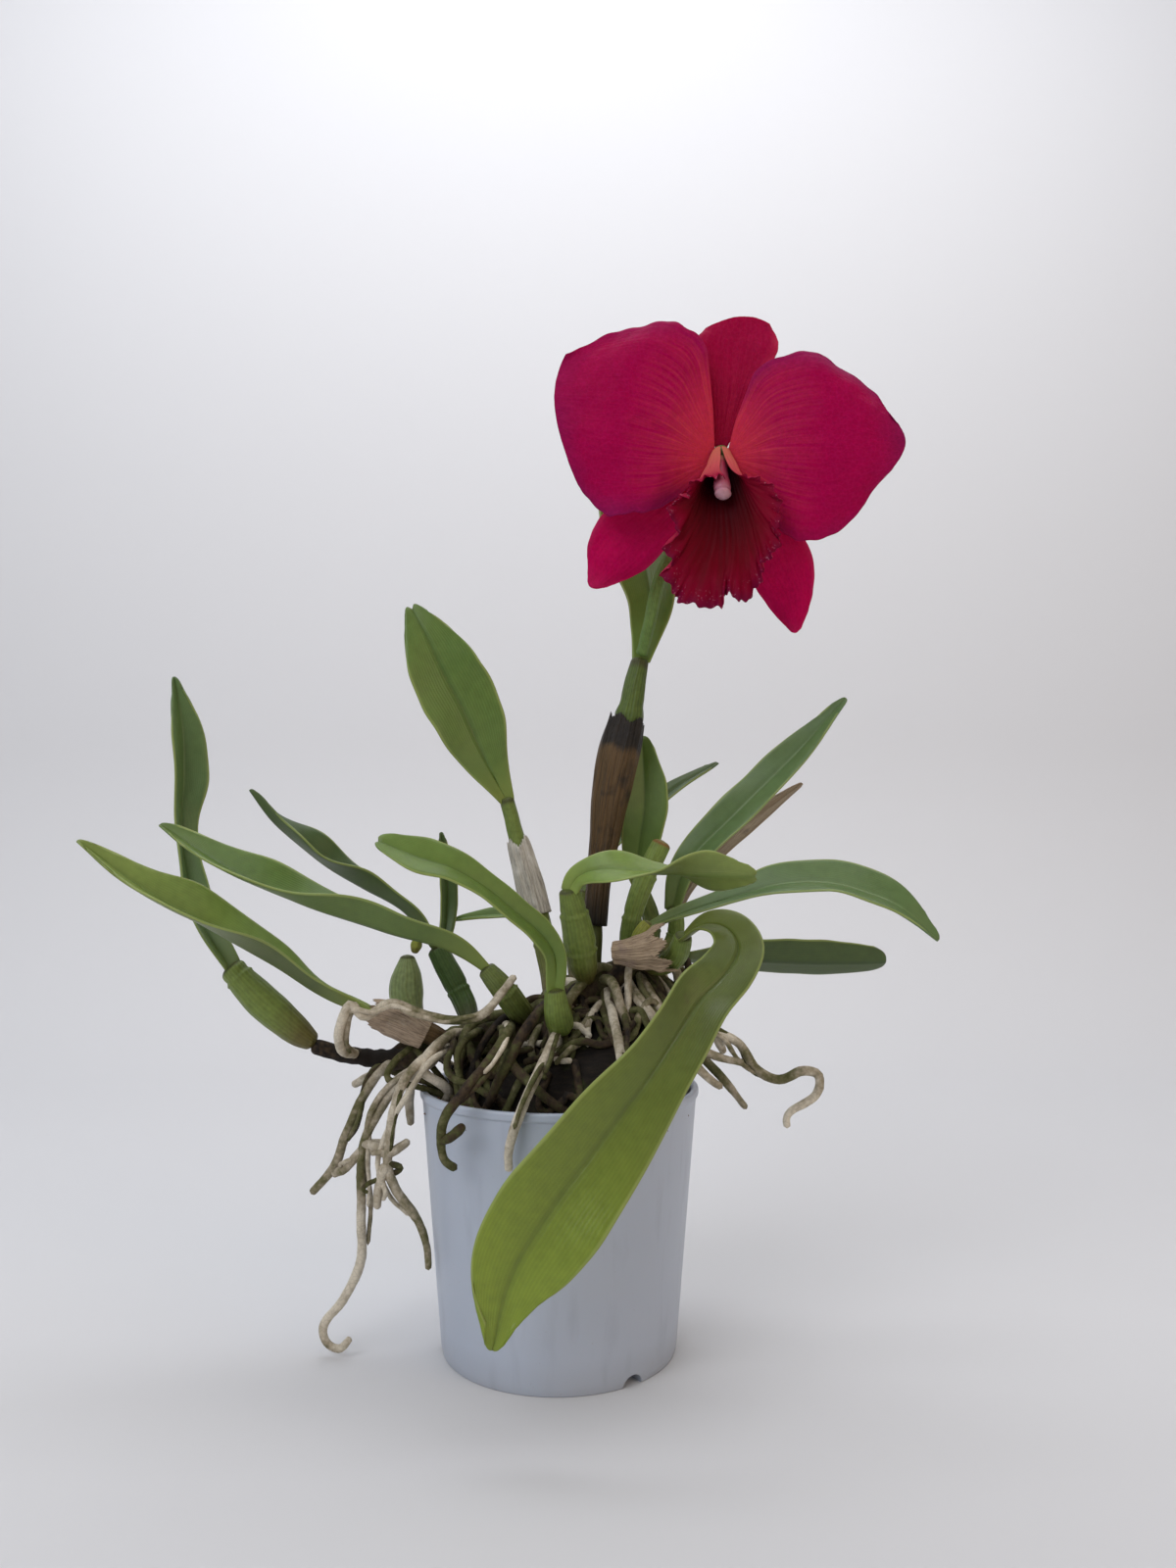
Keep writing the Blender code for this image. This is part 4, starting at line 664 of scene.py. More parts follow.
def waxy_column(name):
    """Waxy column tissue: pale pink that deepens to crimson at its foot."""
    mat, tree, where = new_material(name, IOR=1.45, Subsurface_Weight=0.2, Subsurface_Scale=0.002)
    fine = add(tree, "TexNoise", Vector=where, Scale=500.0, Detail=4.0)
    colour = add(tree, "ValToRGB", grain_map(tree)[0],
                 stops=[(0.0, "8A7A4A"), (0.25, "A02A46"), (0.7, "A8405A"), (0.86, "B8788A"),
                        (1.0, "C79AA4")])
    colour = shaded(tree, colour, 0.8, fine, [(0.3, 0.82), (0.7, 1.12)])
    return finish(mat, colour, 0.3, 0.3, (fine, 1.0),
                  gloss=add(tree, "MapRange", fine, To_Min=0.3, To_Max=0.45))


def moulded_plastic(name):
    """Injection-moulded polypropylene: satin white, slightly blue, with faint handling
    scuffs, water marks below the rim and dust near the foot."""
    mat, tree, where = new_material(name, IOR=1.49, Subsurface_Weight=0.04, Subsurface_Scale=0.004)
    height = add(tree, "SeparateXYZ", where, out=2)
    cloud = add(tree, "TexNoise", Vector=where, Scale=24.0, Detail=6.0, Roughness=0.6)
    stretch = add(tree, "Mapping", Vector=where, Scale=(1.0, 1.0, 0.16))
    streak = add(tree, "TexNoise", Vector=stretch, Scale=130.0, Detail=6.0)
    dust = add(tree, "TexNoise", Vector=where, Scale=900.0, Detail=3.0)
    low = add(tree, "MapRange", height, From_Min=0.0, From_Max=0.014, To_Min=0.5, To_Max=0.0)
    colour = add(tree, "Mix", cloud, srgb(POT_SHADE), srgb(POT_LIGHT))
    colour = coat(tree, colour, POT_WATER_MARK, 0.3, streak, [(0.56, 0.0), (0.75, 1.0)])
    colour = coat(tree, colour, POT_FOOT_DUST, 1.0, low, None, cloud)
    colour = coat(tree, colour, POT_SPECK, 0.35, dust, [(0.7, 0.0), (0.76, 1.0)])
    return finish(mat, colour, 0.12, 0.15, (dust, 1.0), (streak, 1.0),
                  gloss=add(tree, "MapRange", cloud, To_Min=0.3, To_Max=0.5))


def rotted_bark(name, pale, dark, crest="80664A"):
    """Fir bark that has begun to rot: dark, fibrous, dusted with algae."""
    mat, tree, where = new_material(name, Roughness=0.92, IOR=1.4)
    stretch = add(tree, "Mapping", Vector=where, Scale=(1.0, 1.0, 3.5))
    layer = add(tree, "TexNoise", Vector=stretch, Scale=190.0, Detail=8.0, Roughness=0.7)
    patch = add(tree, "TexNoise", Vector=where, Scale=60.0, Detail=4.0)
    colour = add(tree, "ValToRGB", layer, stops=[(0.3, dark), (0.55, pale), (0.8, crest)])
    colour = coat(tree, colour, ALGAE, 0.55, patch, [(0.58, 0.0), (0.7, 1.0)])
    return finish(mat, colour, 0.9, 1.2, (layer, 1.0))


# Building pieces

def put(name, data):
    """An object for a mesh, a light or a camera, linked to the scene."""
    obj = bpy.data.objects.new(name, data)
    bpy.context.scene.collection.objects.link(obj)
    return obj


def new_object(name, mesh, material, node, slot):
    """Place a mesh as a shown piece that stands for a node of the part, if one is given."""
    obj = put(name, mesh)
    mesh.materials.clear()
    mesh.materials.append(material)
    mesh.shade_smooth()
    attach(obj, "root")
    if node:
        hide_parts(node)
    return obj


def ring_faces(rings, sides):
    """Faces between rings of points that follow each other."""
    faces = []
    for k in range(rings - 1):
        for j in range(sides):
            a, b = k * sides + j, k * sides + (j + 1) % sides
            faces.append((a, b, b + sides, a + sides))
    return faces


def mesh_from(name, verts, faces, corner_uv=None, marks=None):
    """A mesh from arrays, its normals outward, with a grain map and vertex marks."""
    mesh = bpy.data.meshes.new(name)
    mesh.from_pydata([tuple(p) for p in verts], [], faces)
    if corner_uv is not None:
        layer = mesh.uv_layers.new(name="grain")
        layer.data.foreach_set("uv", np.asarray(corner_uv, dtype=np.float32).ravel())
    for key, values in (marks or {}).items():
        mark = mesh.attributes.new(key, "FLOAT", "POINT")
        mark.data.foreach_set("value", np.asarray(values, dtype=np.float32).ravel())
    bm = bmesh.new()
    bm.from_mesh(mesh)
    bmesh.ops.recalc_face_normals(bm, faces=bm.faces[:])
    bm.to_mesh(mesh)
    bm.free()
    return mesh


def sheet_normals(grid):
    """Unit normals of a grid of points, looking to the side of across x along."""
    along = np.gradient(grid, axis=0)
    across = np.gradient(grid, axis=1)
    normal = np.cross(across, along)
    return normal / np.maximum(np.linalg.norm(normal, axis=2, keepdims=True), 1e-12)


def edge_ring(rows, cols):
    """Row and column of the points on a grid's edge, once round."""
    return ([(0, j) for j in range(cols)] + [(i, cols) for i in range(rows)]
            + [(rows, j) for j in range(cols, 0, -1)] + [(i, 0) for i in range(rows, 0, -1)])


def sheet_faces(rows, cols, edge):
    """Faces of a closed sheet, whose points are an upper grid, a lower grid and a rim
    that joins them. Edge holds the upper grid's points on its edge, once round."""
    count = (rows + 1) * (cols + 1)
    faces = []
    for i in range(rows):
        for j in range(cols):
            a = i * (cols + 1) + j
            b, c, d = a + 1, a + cols + 2, a + cols + 1
            faces.append((a, b, c, d))
            faces.append((a + count, d + count, c + count, b + count))
    for k, a in enumerate(edge):
        after = (k + 1) % len(edge)
        b, p, q = edge[after], 2 * count + k, 2 * count + after
        faces.append((a, p, q, b))
        faces.append((p, a + count, b + count, q))
    return faces


def skin(name, place, rows, cols, thickness, upper, relief, marks=None, thin=0.5):
    """A thin closed sheet over a grid with a rounded edge. place(t, v) gives a point for
    t in 0..1 and v in -1..1, upper is where its upper face looks at the middle, relief
    lifts it in mm along its normal, and thin is how much slimmer its edge is."""
    share = np.linspace(0, 1, rows + 1)
    turn = np.linspace(-1, 1, cols + 1)
    grid = np.array([[place(t, v) for v in turn] for t in share])
    normal = sheet_normals(grid)
    sign = 1.0 if np.dot(normal[rows // 2, cols // 2], Vector(upper)) > 0 else -1.0
    lift = np.array([[relief(t, v, grid[i, j]) for j, v in enumerate(turn)]
                     for i, t in enumerate(share)])
    grid = grid + normal * sign * lift[..., None] / 1000.0
    normal = sheet_normals(grid) * sign
    t_all = np.repeat(share[:, None], cols + 1, axis=1)
    v_all = np.repeat(turn[None, :], rows + 1, axis=0)
    slim = np.maximum(np.abs(v_all), np.clip(t_all * 2 - 1, 0, 1)) ** 8
    half = (thickness / 2000.0 * (1 - thin * slim))[..., None]
    top, low = (grid + normal * half).reshape(-1, 3), (grid - normal * half).reshape(-1, 3)
    ring = edge_ring(rows, cols)
    rim = []
    for i, j in ring:
        out = grid[i, j] - grid[min(max(i, 1), rows - 1), min(max(j, 1), cols - 1)]
        rim.append(grid[i, j] + out / max(np.linalg.norm(out), 1e-9) * half[i, j] * 0.7)
    edge = [i * (cols + 1) + j for i, j in ring]
    faces = sheet_faces(rows, cols, edge)
    uv = np.stack([t_all, (v_all + 1) / 2], axis=2).reshape(-1, 2)
    uv = np.vstack([uv, uv, uv[edge]])
    given = {"under": np.repeat([0.0, 1.0, 0.5], [len(top), len(low), len(rim)])}
    for key, rule in (marks or {}).items():
        values = np.array([[rule(t, v) for v in turn] for t in share]).ravel()
        given[key] = np.concatenate([values, values, values[edge]])
    return mesh_from(name, np.vstack([top, low, rim]), faces, uv[np.array(faces).ravel()],
                     given)


def tube(path, radii, points, sides, shape, wander=0.0, seed=0.0, blunt=0.9):
    """Rings of points round a path: arrays of verts, faces, corner places and shares.
    shape(t, angle, point) adds mm to the radius, wander bends the path by mm, and blunt
    is how long its rounded ends are, in radii."""
    even = np.linspace(0, 1, points)
    share = 0.45 * (0.5 - 0.5 * np.cos(math.pi * even)) + 0.55 * even
    verts, corners, marks = [], [], []
    side = None
    for k, t in enumerate(share):
        centre, along = path.at(t), path.tangent(t)
        if wander:
            drift = [ripple_noise(centre, 14, seed + more) for more in (0, 9, 5)]
            centre = centre + Vector(drift) * mm(wander)
        if side is None:
            side = along.orthogonal()
        side = square_to(side, along)
        other = along.cross(side)
        radius = blend_values(radii, t)
        near = min(t, 1 - t) * path.length * 1000
        dome = blunt * (radii[0] if t < 0.5 else radii[-1])
        if near < dome:
            radius *= math.sqrt(max(1 - (1 - near / dome) ** 2, 0.012))
        for j in range(sides):
            angle = 2 * math.pi * j / sides
            out = side * math.cos(angle) + other * math.sin(angle)
            change = shape(t, angle, centre + out * mm(radius))
            size = radius + change * min(1.0, near / max(dome, 1e-6) + 0.15)
            verts.append(centre + out * mm(size))
            marks.append(t)
    faces = ring_faces(points, sides)
    for t, u in zip(share, share[1:]):
        for j in range(sides):
            corners += [(t, j / sides), (t, (j + 1) / sides), (u, (j + 1) / sides),
                        (u, j / sides)]
    for k, t in ((0, 0.0), (points - 1, 1.0)):
        ring = [k * sides + j for j in range(sides)]
        faces.append(tuple(ring[::-1] if k == 0 else ring))
        corners += [(t, j / sides) for j in range(sides)]
    return verts, faces, corners, marks


def bundle(name, tubes, tints):
    """Many tubes in one mesh, each with its own tint mark."""
    verts, faces, corners, marks = [], [], [], []
    for (v, f, c, m), tint in zip(tubes, tints):
        base = len(verts)
        verts += v
        faces += [tuple(i + base for i in face) for face in f]
        corners += c
        marks += [tint(t) for t in m]
    return mesh_from(name, verts, faces, corners, {"tint": marks})


# Leaves and stems

def blade_place(spine, half_widths, faces, seed, fold, tip, notch=0, wave=0):
    """The rule that places a leaf's middle surface, as in the part. Fold is how far each
    half is folded up in degrees, tip and notch shape its end in mm, and wave is how high
    its edges ripple in mm."""
    path = Path(spine)
    facings = [Vector(f).normalized() for f in faces]
    lift = math.radians(fold)

    def place(t, v):
        short = tip * abs(v) ** 3 + notch * bump(v, 0.2)
        run = t * (1 - mm(short) / path.length * ease(t * 1.5 - 0.3))
        along = path.tangent(run)
        face = smooth_curve(facings, run) if len(facings) > 1 else facings[0]
        face = square_to(face, along)
        side = along.cross(face)
        half = mm(blend_values(half_widths, t))
        half *= 1 + 0.022 * math.sin(9 * t + seed) + 0.012 * math.sin(31 * t + seed * 2)
        keel = (math.sqrt(v * v + 0.02) - 0.1414) * math.sin(lift)
        ripple = mm(wave) * v * v * math.sin(2 * math.pi * 3 * t + (1.3 if v > 0 else 0))
        return path.at(run) + side * v * half * math.cos(lift) + face * (keel * half + ripple)

    face = smooth_curve(facings, 0.5) if len(facings) > 1 else facings[0]
    return place, path, square_to(face, path.tangent(0.5))


def show_leaf(name, spine, half_widths, faces, slot, material, thickness=LEAF_THICKNESS,
              **options):
    """A leaf with a sunk midrib, faint pleats and slow dents that its name picks."""
    seed = float(len(name) * 3 + ord(name[5]))
    place, path, upper = blade_place(spine, half_widths, faces, seed, **options)
    wide = max(half_widths)

    def relief(t, v, point):
        rib = -0.75 * bump(v * wide, 1.1) * ease(t * 8) * (1 - 0.5 * t)
        pleat = 0.05 * math.cos(v * wide * 2.4)
        return rib + pleat + 0.5 * ripple_noise(point, 26, seed) * ease(t * 4)

    rows = max(40, int(path.length * 1000 / LEAF_STEP))
    cols = max(16, int(wide * 1.7))
    mesh = skin("shown_" + name, place, rows, cols, thickness, upper, relief)
    return new_object("shown_" + name, mesh, material, name, slot)


def show_stem(name, spine, radii, slot, material, ridges=9, depth=0.28, joints=()):
    """A fleshy stem with shallow ridges, joints at shares of its length where scales
    grew, and dents that its name picks."""
    path = Path(spine)
    seed = float(len(name) + ord(name[-2]))

    def shape(t, angle, point):
        ridge = depth * math.sin(ridges * angle + 2.5 * ripple_noise(point, 22, seed))
        knot = sum(0.5 * bump(t - joint, 0.012) - 0.4 * bump(t - joint - 0.03, 0.02)
                   for joint in joints)
        return ridge * (0.35 + 0.65 * math.sin(math.pi * t)) + knot \
            + 0.35 * ripple_noise(point, 9, seed)

    verts, faces, corners = tube(path, radii, *STEM_GRID, shape, blunt=0.55)[:3]
    mesh = mesh_from("shown_" + name, verts, faces, corners)
    return new_object("shown_" + name, mesh, material, name, slot)


def show_sheath(name, spine, radii, face, span, slot, material, ragged, teeth):
    """A torn papery sheath, crumpled along its fibres and split into strips at its end."""
    path = Path(spine)
    toward = Vector(face).normalized()

    def place(t, v):
        torn = ragged * (0.5 + 0.5 * math.sin(teeth * v * 2.2 + 1.0)) * ease(t * 2 - 1)
        torn += 0.35 * ragged * abs(math.sin(teeth * v * 9.1)) * ease(t * 2 - 1)
        run = t * (1 - mm(torn) / path.length)
        along = path.tangent(run)
        front = square_to(toward, along)
        side = along.cross(front)
        turn = math.radians(span / 2) * v
        radius = mm(blend_values(radii, t) + 0.25 * math.sin(turn * 9)
                    + 0.25 * ease(t * 3 - 2) * math.sin(turn * 5 + 1))
        return path.at(run) + (side * math.sin(turn) + front * math.cos(turn)) * radius

    def relief(t, v, point):
        return 0.5 * ripple_noise((point[0], point[1], point[2] * 0.3), 5, 3.0) \
            + 0.12 * math.sin(v * 60 + 3 * ripple_noise(point, 12))

    mesh = skin("shown_" + name, place, *SHEATH_GRID, SHEATH_THICKNESS, toward, relief,
                thin=0.6)
    return new_object("shown_" + name, mesh, material, name, slot)


# Pot and medium

def turned(name, profile, steps):
    """A Screw of a profile given as (radius, height) in mm."""
    bm = bmesh.new()
    verts = [bm.verts.new((mm(r), 0, mm(z))) for r, z in profile]
    for a, b in zip(verts, verts[1:]):
        bm.edges.new((a, b))
    mesh = bpy.data.meshes.new(name)
    bm.to_mesh(mesh)
    bm.free()
    obj = put(name, mesh)
    screw = obj.modifiers.new("turn", "SCREW")
    screw.steps = steps
    screw.render_steps = steps
    screw.use_merge_vertices = True
    screw.merge_threshold = 0.00002
    return obj


def baked(obj):
    """The object's mesh with its modifiers applied."""
    bpy.context.view_layer.update()
    graph = bpy.context.evaluated_depsgraph_get()
    mesh = bpy.data.meshes.new_from_object(obj.evaluated_get(graph))
    bpy.data.objects.remove(obj, do_unlink=True)
    return mesh


def rounded(profile, radius, steps=5):
    """The profile with each corner rounded to a radius in mm."""
    points = [Vector((r, z, 0)) for r, z in profile]
    out = [points[0]]
    for a, b, c in zip(points, points[1:], points[2:]):
        cut = min(radius, (a - b).length * 0.45, (c - b).length * 0.45)
        start = b + (a - b).normalized() * cut
        end = b + (c - b).normalized() * cut
        out += [start.lerp(b, k / steps).lerp(b.lerp(end, k / steps), k / steps)
                for k in range(steps + 1)]
    out.append(points[-1])
    return [(p.x, p.y) for p in out]


def show_pot(material):
    """The pot with its rolled rim, softened corners and drain notches."""
    inner_rim = POT_RIM_RADIUS - POT_WALL - 0.8
    inner_base = POT_BASE_RADIUS - POT_WALL
    profile = [(0, POT_FLOOR), (inner_base, POT_FLOOR), (inner_rim, POT_HEIGHT - 1.5),
               (inner_rim + 1.2, POT_HEIGHT), (POT_RIM_RADIUS - 0.4, POT_HEIGHT),
               (POT_RIM_RADIUS, POT_HEIGHT - 0.8), (POT_RIM_RADIUS, POT_HEIGHT - RIM_DEPTH),
               (POT_RIM_RADIUS - RIM_STEP, POT_HEIGHT - RIM_DEPTH - 0.6),
               (POT_BASE_RADIUS + 0.6, 3.0), (POT_BASE_RADIUS, 0.0), (0, 0)]
    pot = turned("shown_pot", rounded(profile, 0.7), 160)
    for i in range(NOTCH_COUNT):
        turn = math.radians(-90 + NOTCH_TURN + 360 / NOTCH_COUNT * i)
        bpy.ops.mesh.primitive_cylinder_add(vertices=48, radius=1, depth=mm(2 * NOTCH_DEPTH))
        cutter = bpy.context.object
        cutter.rotation_euler = (math.radians(90), 0, turn + math.radians(90))
        cutter.scale = (mm(NOTCH_WIDTH / 2), mm(NOTCH_HEIGHT), 1)
        cutter.location = Vector((math.cos(turn), math.sin(turn), 0)) * mm(POT_BASE_RADIUS)
        change = pot.modifiers.new("notch_%d" % i, "BOOLEAN")
        change.object = cutter
        change.operation = "DIFFERENCE"
    cutters = [m.object for m in pot.modifiers if m.type == "BOOLEAN"]
    mesh = baked(pot)
    for cutter in cutters:
        bpy.data.objects.remove(cutter, do_unlink=True)
    obj = new_object("shown_pot", mesh, material, "pot", "pot")
    mesh.set_sharp_from_angle(angle=math.radians(40))
    return obj


def mound_height(x, y):
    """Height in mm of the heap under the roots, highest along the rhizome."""
    best = MEDIUM_TOP
    for share in (0.2, 0.32, 0.44, 0.56, 0.68, 0.8, 0.92):
        peak = RHIZOME_PATH.at(share) * 1000
        away = math.hypot(x - peak.x * 0.86, (y - peak.y) * 0.92)
        best = max(best, peak.z - HEAP_SINK - HEAP_SLOPE * away - HEAP_CURVE * away * away)
    drop = max(0.0, math.hypot(x, y) - HEAP_EDGE) * HEAP_EDGE_SLOPE
    return max(MEDIUM_TOP, best - drop)


def show_medium(bark, chip, moss):
    """Bark in the pot, its top broken up by chips and flecks of moss."""
    slope = (POT_RIM_RADIUS - POT_BASE_RADIUS - 0.8) / (POT_HEIGHT - POT_FLOOR)
    low = POT_BASE_RADIUS - POT_WALL - 0.35
    top = low + slope * (MEDIUM_TOP - POT_FLOOR) - 0.3
    rings = [(top * k / 24, MEDIUM_TOP) for k in range(25)]
    body = turned("medium", rings + [(low, POT_FLOOR + 0.35), (0, POT_FLOOR + 0.35)], 96)
    mesh = baked(body)
    for vert in mesh.vertices:
        x, y, z = vert.co * 1000
        if z > MEDIUM_TOP - 1 and math.hypot(x, y) < top - 1:
            vert.co.z += mm(2.2 * math.sin(x * 0.21 + 1) * math.cos(y * 0.26) + 1.0
                            + 0.9 * ripple_noise(vert.co, 7))
    medium = new_object("shown_medium", mesh, bark, "potting_medium", "bark")
    scatter(medium, "chips", chip, count=620, size=(7.0, 4.6, 2.2), spread=1.2, seed=11)
    scatter(medium, "moss", moss, count=520, size=(1.6, 1.6, 1.1), spread=0.9, seed=5)
    return medium


def scatter(host, name, material, count, size, spread, seed):
    """Lumps strewn over a surface by Geometry Nodes, as a plain mesh. Size is in mm, and
    spread is how much larger than 0.55 of it a lump may be."""
    tree = bpy.data.node_groups.new("strew_" + name, "GeometryNodeTree")
    face = tree.interface
    face.new_socket("Geometry", in_out="INPUT", socket_type="NodeSocketGeometry")
    density = face.new_socket("Lumps per square metre", in_out="INPUT",
                              socket_type="NodeSocketFloat")
    face.new_socket("Geometry", in_out="OUTPUT", socket_type="NodeSocketGeometry")
    start = tree.nodes.new("NodeGroupInput")
    end = tree.nodes.new("NodeGroupOutput")
    points = add(tree, "GeometryNodeDistributePointsOnFaces", Mesh=start.outputs[0],
                 Density=start.outputs[1], Seed=seed)
    lump = add(tree, "GeometryNodeMeshIcoSphere", Radius=0.5, Subdivisions=2)
    rough = add(tree, "TexNoise", Scale=2.6, Detail=2.0, out="Color")
    centred = add(tree, "VectorMath SUBTRACT", rough, (0.5, 0.5, 0.5))
    push = add(tree, "VectorMath SCALE", centred, Scale=0.75)
    craggy = add(tree, "GeometryNodeSetPosition", Geometry=lump, Offset=push)
    flat = add(tree, "GeometryNodeTransform", Geometry=craggy, Scale=mm(size))
    turn = add(tree, "FunctionNodeRandomValue", (-0.6, -0.6, 0.0), (0.6, 0.6, 6.28),
               Seed=seed + 1, data_type="FLOAT_VECTOR")
    grow = add(tree, "FunctionNodeRandomValue", 0.55, 0.55 + spread, Seed=seed + 2)
    placed = add(tree, "GeometryNodeInstanceOnPoints", Points=points, Instance=flat,
                 Rotation=turn, Scale=grow)
    real = add(tree, "GeometryNodeRealizeInstances", Geometry=placed)
    done = add(tree, "GeometryNodeSetMaterial", Geometry=real, Material=material)
    tree.links.new(done, end.inputs[0])
    holder = put(name, top_faces(host.data))
    growth = holder.modifiers.new("strew", "NODES")
    growth.node_group = tree
    growth[density.identifier] = count / sum(p.area for p in holder.data.polygons)
    holder.data.update()
    return new_object("shown_" + name, baked(holder), material, None, "bark")


def top_faces(mesh):
    """A copy of the faces that look up and lie near the pot's rim."""
    bm = bmesh.new()
    bm.from_mesh(mesh)
    bm.normal_update()
    low = [f for f in bm.faces if f.normal.z < 0.3 or f.calc_center_median().z < mm(POT_HEIGHT / 2)]
    bmesh.ops.delete(bm, geom=low, context="FACES")
    copy = bpy.data.meshes.new("top")
    bm.to_mesh(copy)
    bm.free()
    return copy


# Roots

def mound_root(index, total, first=0.28, span=0.62, far=17.0):
    """One root of the mound, fanned out from the rhizome by the golden angle."""
    share = first + span * (index + 0.5) / total
    start = RHIZOME_PATH.at(share) * 1000
    turn = GOLDEN_ANGLE * index + 0.6
    reach = far + 13 * ((index * 7) % 5) / 4
    out = Vector((math.cos(turn), math.sin(turn) * 1.15, 0))
    side = Vector((-out.y, out.x, 0)) * (9 if index % 2 else -9)
    middle = start + out * reach
    end = Vector((start.x * 0.75, start.y, 0)) + out * (reach + 9) + side
    flat = Vector((end.x, end.y, 0))
    if flat.length > MOUND_REACH:
        flat *= MOUND_REACH / flat.length
    hump = start.z - 3 - 6 * (index % 3)
    low = MEDIUM_TOP + 5
    return [tuple(start), (start + out * reach * 0.45 + Vector((0, 0, 2)))[:],
            (middle.x, middle.y, hump), (flat.x, flat.y, low + (hump - low) * 0.35),
            (flat.x * 0.9 + side.x, flat.y * 0.9 + side.y, low - 1)]


def root_shape(seed):
    """Swellings, dents and a few tight rings along a root."""
    def shape(t, angle, point):
        size = 0.22 * ripple_noise(point, 7, seed) + 0.14 * ripple_noise(point, 2.4, seed + 3)
        ring = ripple_noise(point, 18, seed + 7)
        return size - (0.18 if ring > 0.42 else 0.0)
    return shape


def clear_of_pot(line):
    """Whether a line keeps above the pot's rim or outside it."""
    return all(z > POT_HEIGHT + 4 or math.hypot(x, y) > POT_RIM_RADIUS + 4 for x, y, z in line)


def surface_root(rng, index):
    """Points of a root that wanders over the top of the mound."""
    angle = rng.uniform(0, 6.283)
    reach = rng.uniform(6, 44)
    x, y = reach * math.cos(angle), reach * math.sin(angle)
    heading = rng.uniform(0, 6.283)
    points = []
    for k in range(6):
        lift = 1.2 + 2.4 * math.sin(k * 1.7 + index)
        points.append((x, y, mound_height(x, y) + lift))
        heading += rng.uniform(-0.7, 0.7)
        x += 7.5 * math.cos(heading)
        y += 7.5 * math.sin(heading)
        far = math.hypot(x, y)
        if far > SURFACE_REACH:
            x, y = x * SURFACE_REACH / far, y * SURFACE_REACH / far
    return points


def show_roots(material):
    """The rhizome, the roots of the part and finer ones between them."""
    rng = random.Random(20)
    tubes = [tube(RHIZOME_PATH, RHIZOME_RADII, *RHIZOME_GRID,
                  lambda t, a, p: 0.7 * ripple_noise(p, 8, 2.0)
                  + 0.35 * math.sin(t * 190) * ease(t * 5))]
    tints = [lambda t: 0.05 + 0.21 * ease(t * 4 - 0.8)]

    def grow(path, radii, count, sides, lumps, wander, seed, tint):
        tubes.append(tube(path, radii, count, sides, root_shape(lumps), wander, seed))
        tints.append(tint if callable(tint) else lambda t: tint)

    for i, points in enumerate(FREE_ROOTS):
        path = Path(points)
        grow(path, [ROOT_RADIUS] * 4 + [ROOT_RADIUS * 0.75],
             max(30, int(path.length * 1000 / ROOT_STEP)), 14, lumps=i * 3.1, wander=0.45,
             seed=i, tint=ROOT_TINTS.get(i, 0.78))
        for k in range(2):
            reach = rng.uniform(0.5, 0.85)
            drift = Vector((rng.uniform(-6, 6), rng.uniform(-4, 4), 0))
            line = [tuple(path.at(reach * s / 8) * 1000 + drift * math.sin(s * 0.7))
                    for s in range(9)]
            shade = rng.choice((0.3, 0.6, 0.8, 0.95))
            if i != OVER_RIM and clear_of_pot(line):
                grow(Path(line), [1.5, 1.3, 0.9], 40, 8, lumps=i + k * 5.3, wander=1.3,
                     seed=i + 20 * k, tint=shade)
    # Roots on the mound take many dark tints: partly the brown of old roots, partly painted shade
    # of the gaps between them.
    for i in range(MOUND_ROOTS):
        grow(Path(mound_root(i, MOUND_ROOTS)), [2.2, 2.1, 1.9], 48, 12, lumps=i * 1.7,
             wander=0.8, seed=i, tint=rng.choice((0.2, 0.3, 0.38, 0.55, 0.9)))
    for i in range(FINE_ROOTS):
        line = mound_root(i + 3, FINE_ROOTS + 3, first=0.22, span=0.72, far=12.0)
        grow(Path(line), [1.7, 1.5, 1.1], 44, 9, lumps=i * 2.3, wander=1.6, seed=i + 40,
             tint=rng.choice((0.08, 0.14, 0.22, 0.36, 0.85)))
    for i in range(SURFACE_ROOTS):
        grow(Path(surface_root(rng, i)), [1.5, 1.6, 1.2], 34, 8, lumps=i * 0.9, wander=0.5,
             seed=i + 90, tint=rng.choice((0.1, 0.2, 0.34, 0.5, 0.8, 0.95)))
    mesh = bundle("shown_rhizome_and_roots", tubes, tints)
    return new_object("shown_rhizome_and_roots", mesh, material, "rhizome_and_roots", "root")


def show_heap(material, steps=96, rings=24):
    """The litter between the roots, dark and painted down to near black as shade in the gaps, whose
    foot lies in the bark.
    """
    rounds = [(math.cos(turn), math.sin(turn))
              for turn in (2 * math.pi * k / steps for k in range(steps))]
    verts = []
    for ring in range(rings + 1):
        for right, back in rounds:
            reach = HEAP_REACH * ring / rings
            x, y = reach * right, reach * back
            lump = 2.2 * ripple_noise((mm(x), mm(y), 0), 9, 4) \
                + 1.0 * ripple_noise((mm(x), mm(y), 0), 3, 8)
            verts.append((mm(x), mm(y), mm(mound_height(x, y) - 3 + lump)))
    base = len(verts)
    verts += [mm((HEAP_FOOT_RADIUS * right, HEAP_FOOT_RADIUS * back, HEAP_FOOT_HEIGHT))
              for right, back in rounds]
    faces = ring_faces(rings + 2, steps) + [tuple(range(base, base + steps))]
    mesh = mesh_from("shown_heap", verts, faces)
    return new_object("shown_heap", mesh, material, None, "bark")


# Bloom

def bloom_frame():
    """Origin and axes of the bloom: right, up, and forward to where it faces."""
    forward = Vector(BLOOM_FACING).normalized()
    up = square_to(Vector((0, 0, 1)), forward)
    return mm(BLOOM_CENTRE), up.cross(forward), up, forward


def in_bloom(point):
    """A bloom point (right, up, forward) in mm to world metres."""
    origin, right, up, forward = bloom_frame()
    x, y, z = mm(point)
    return origin + right * x + up * y + forward * z


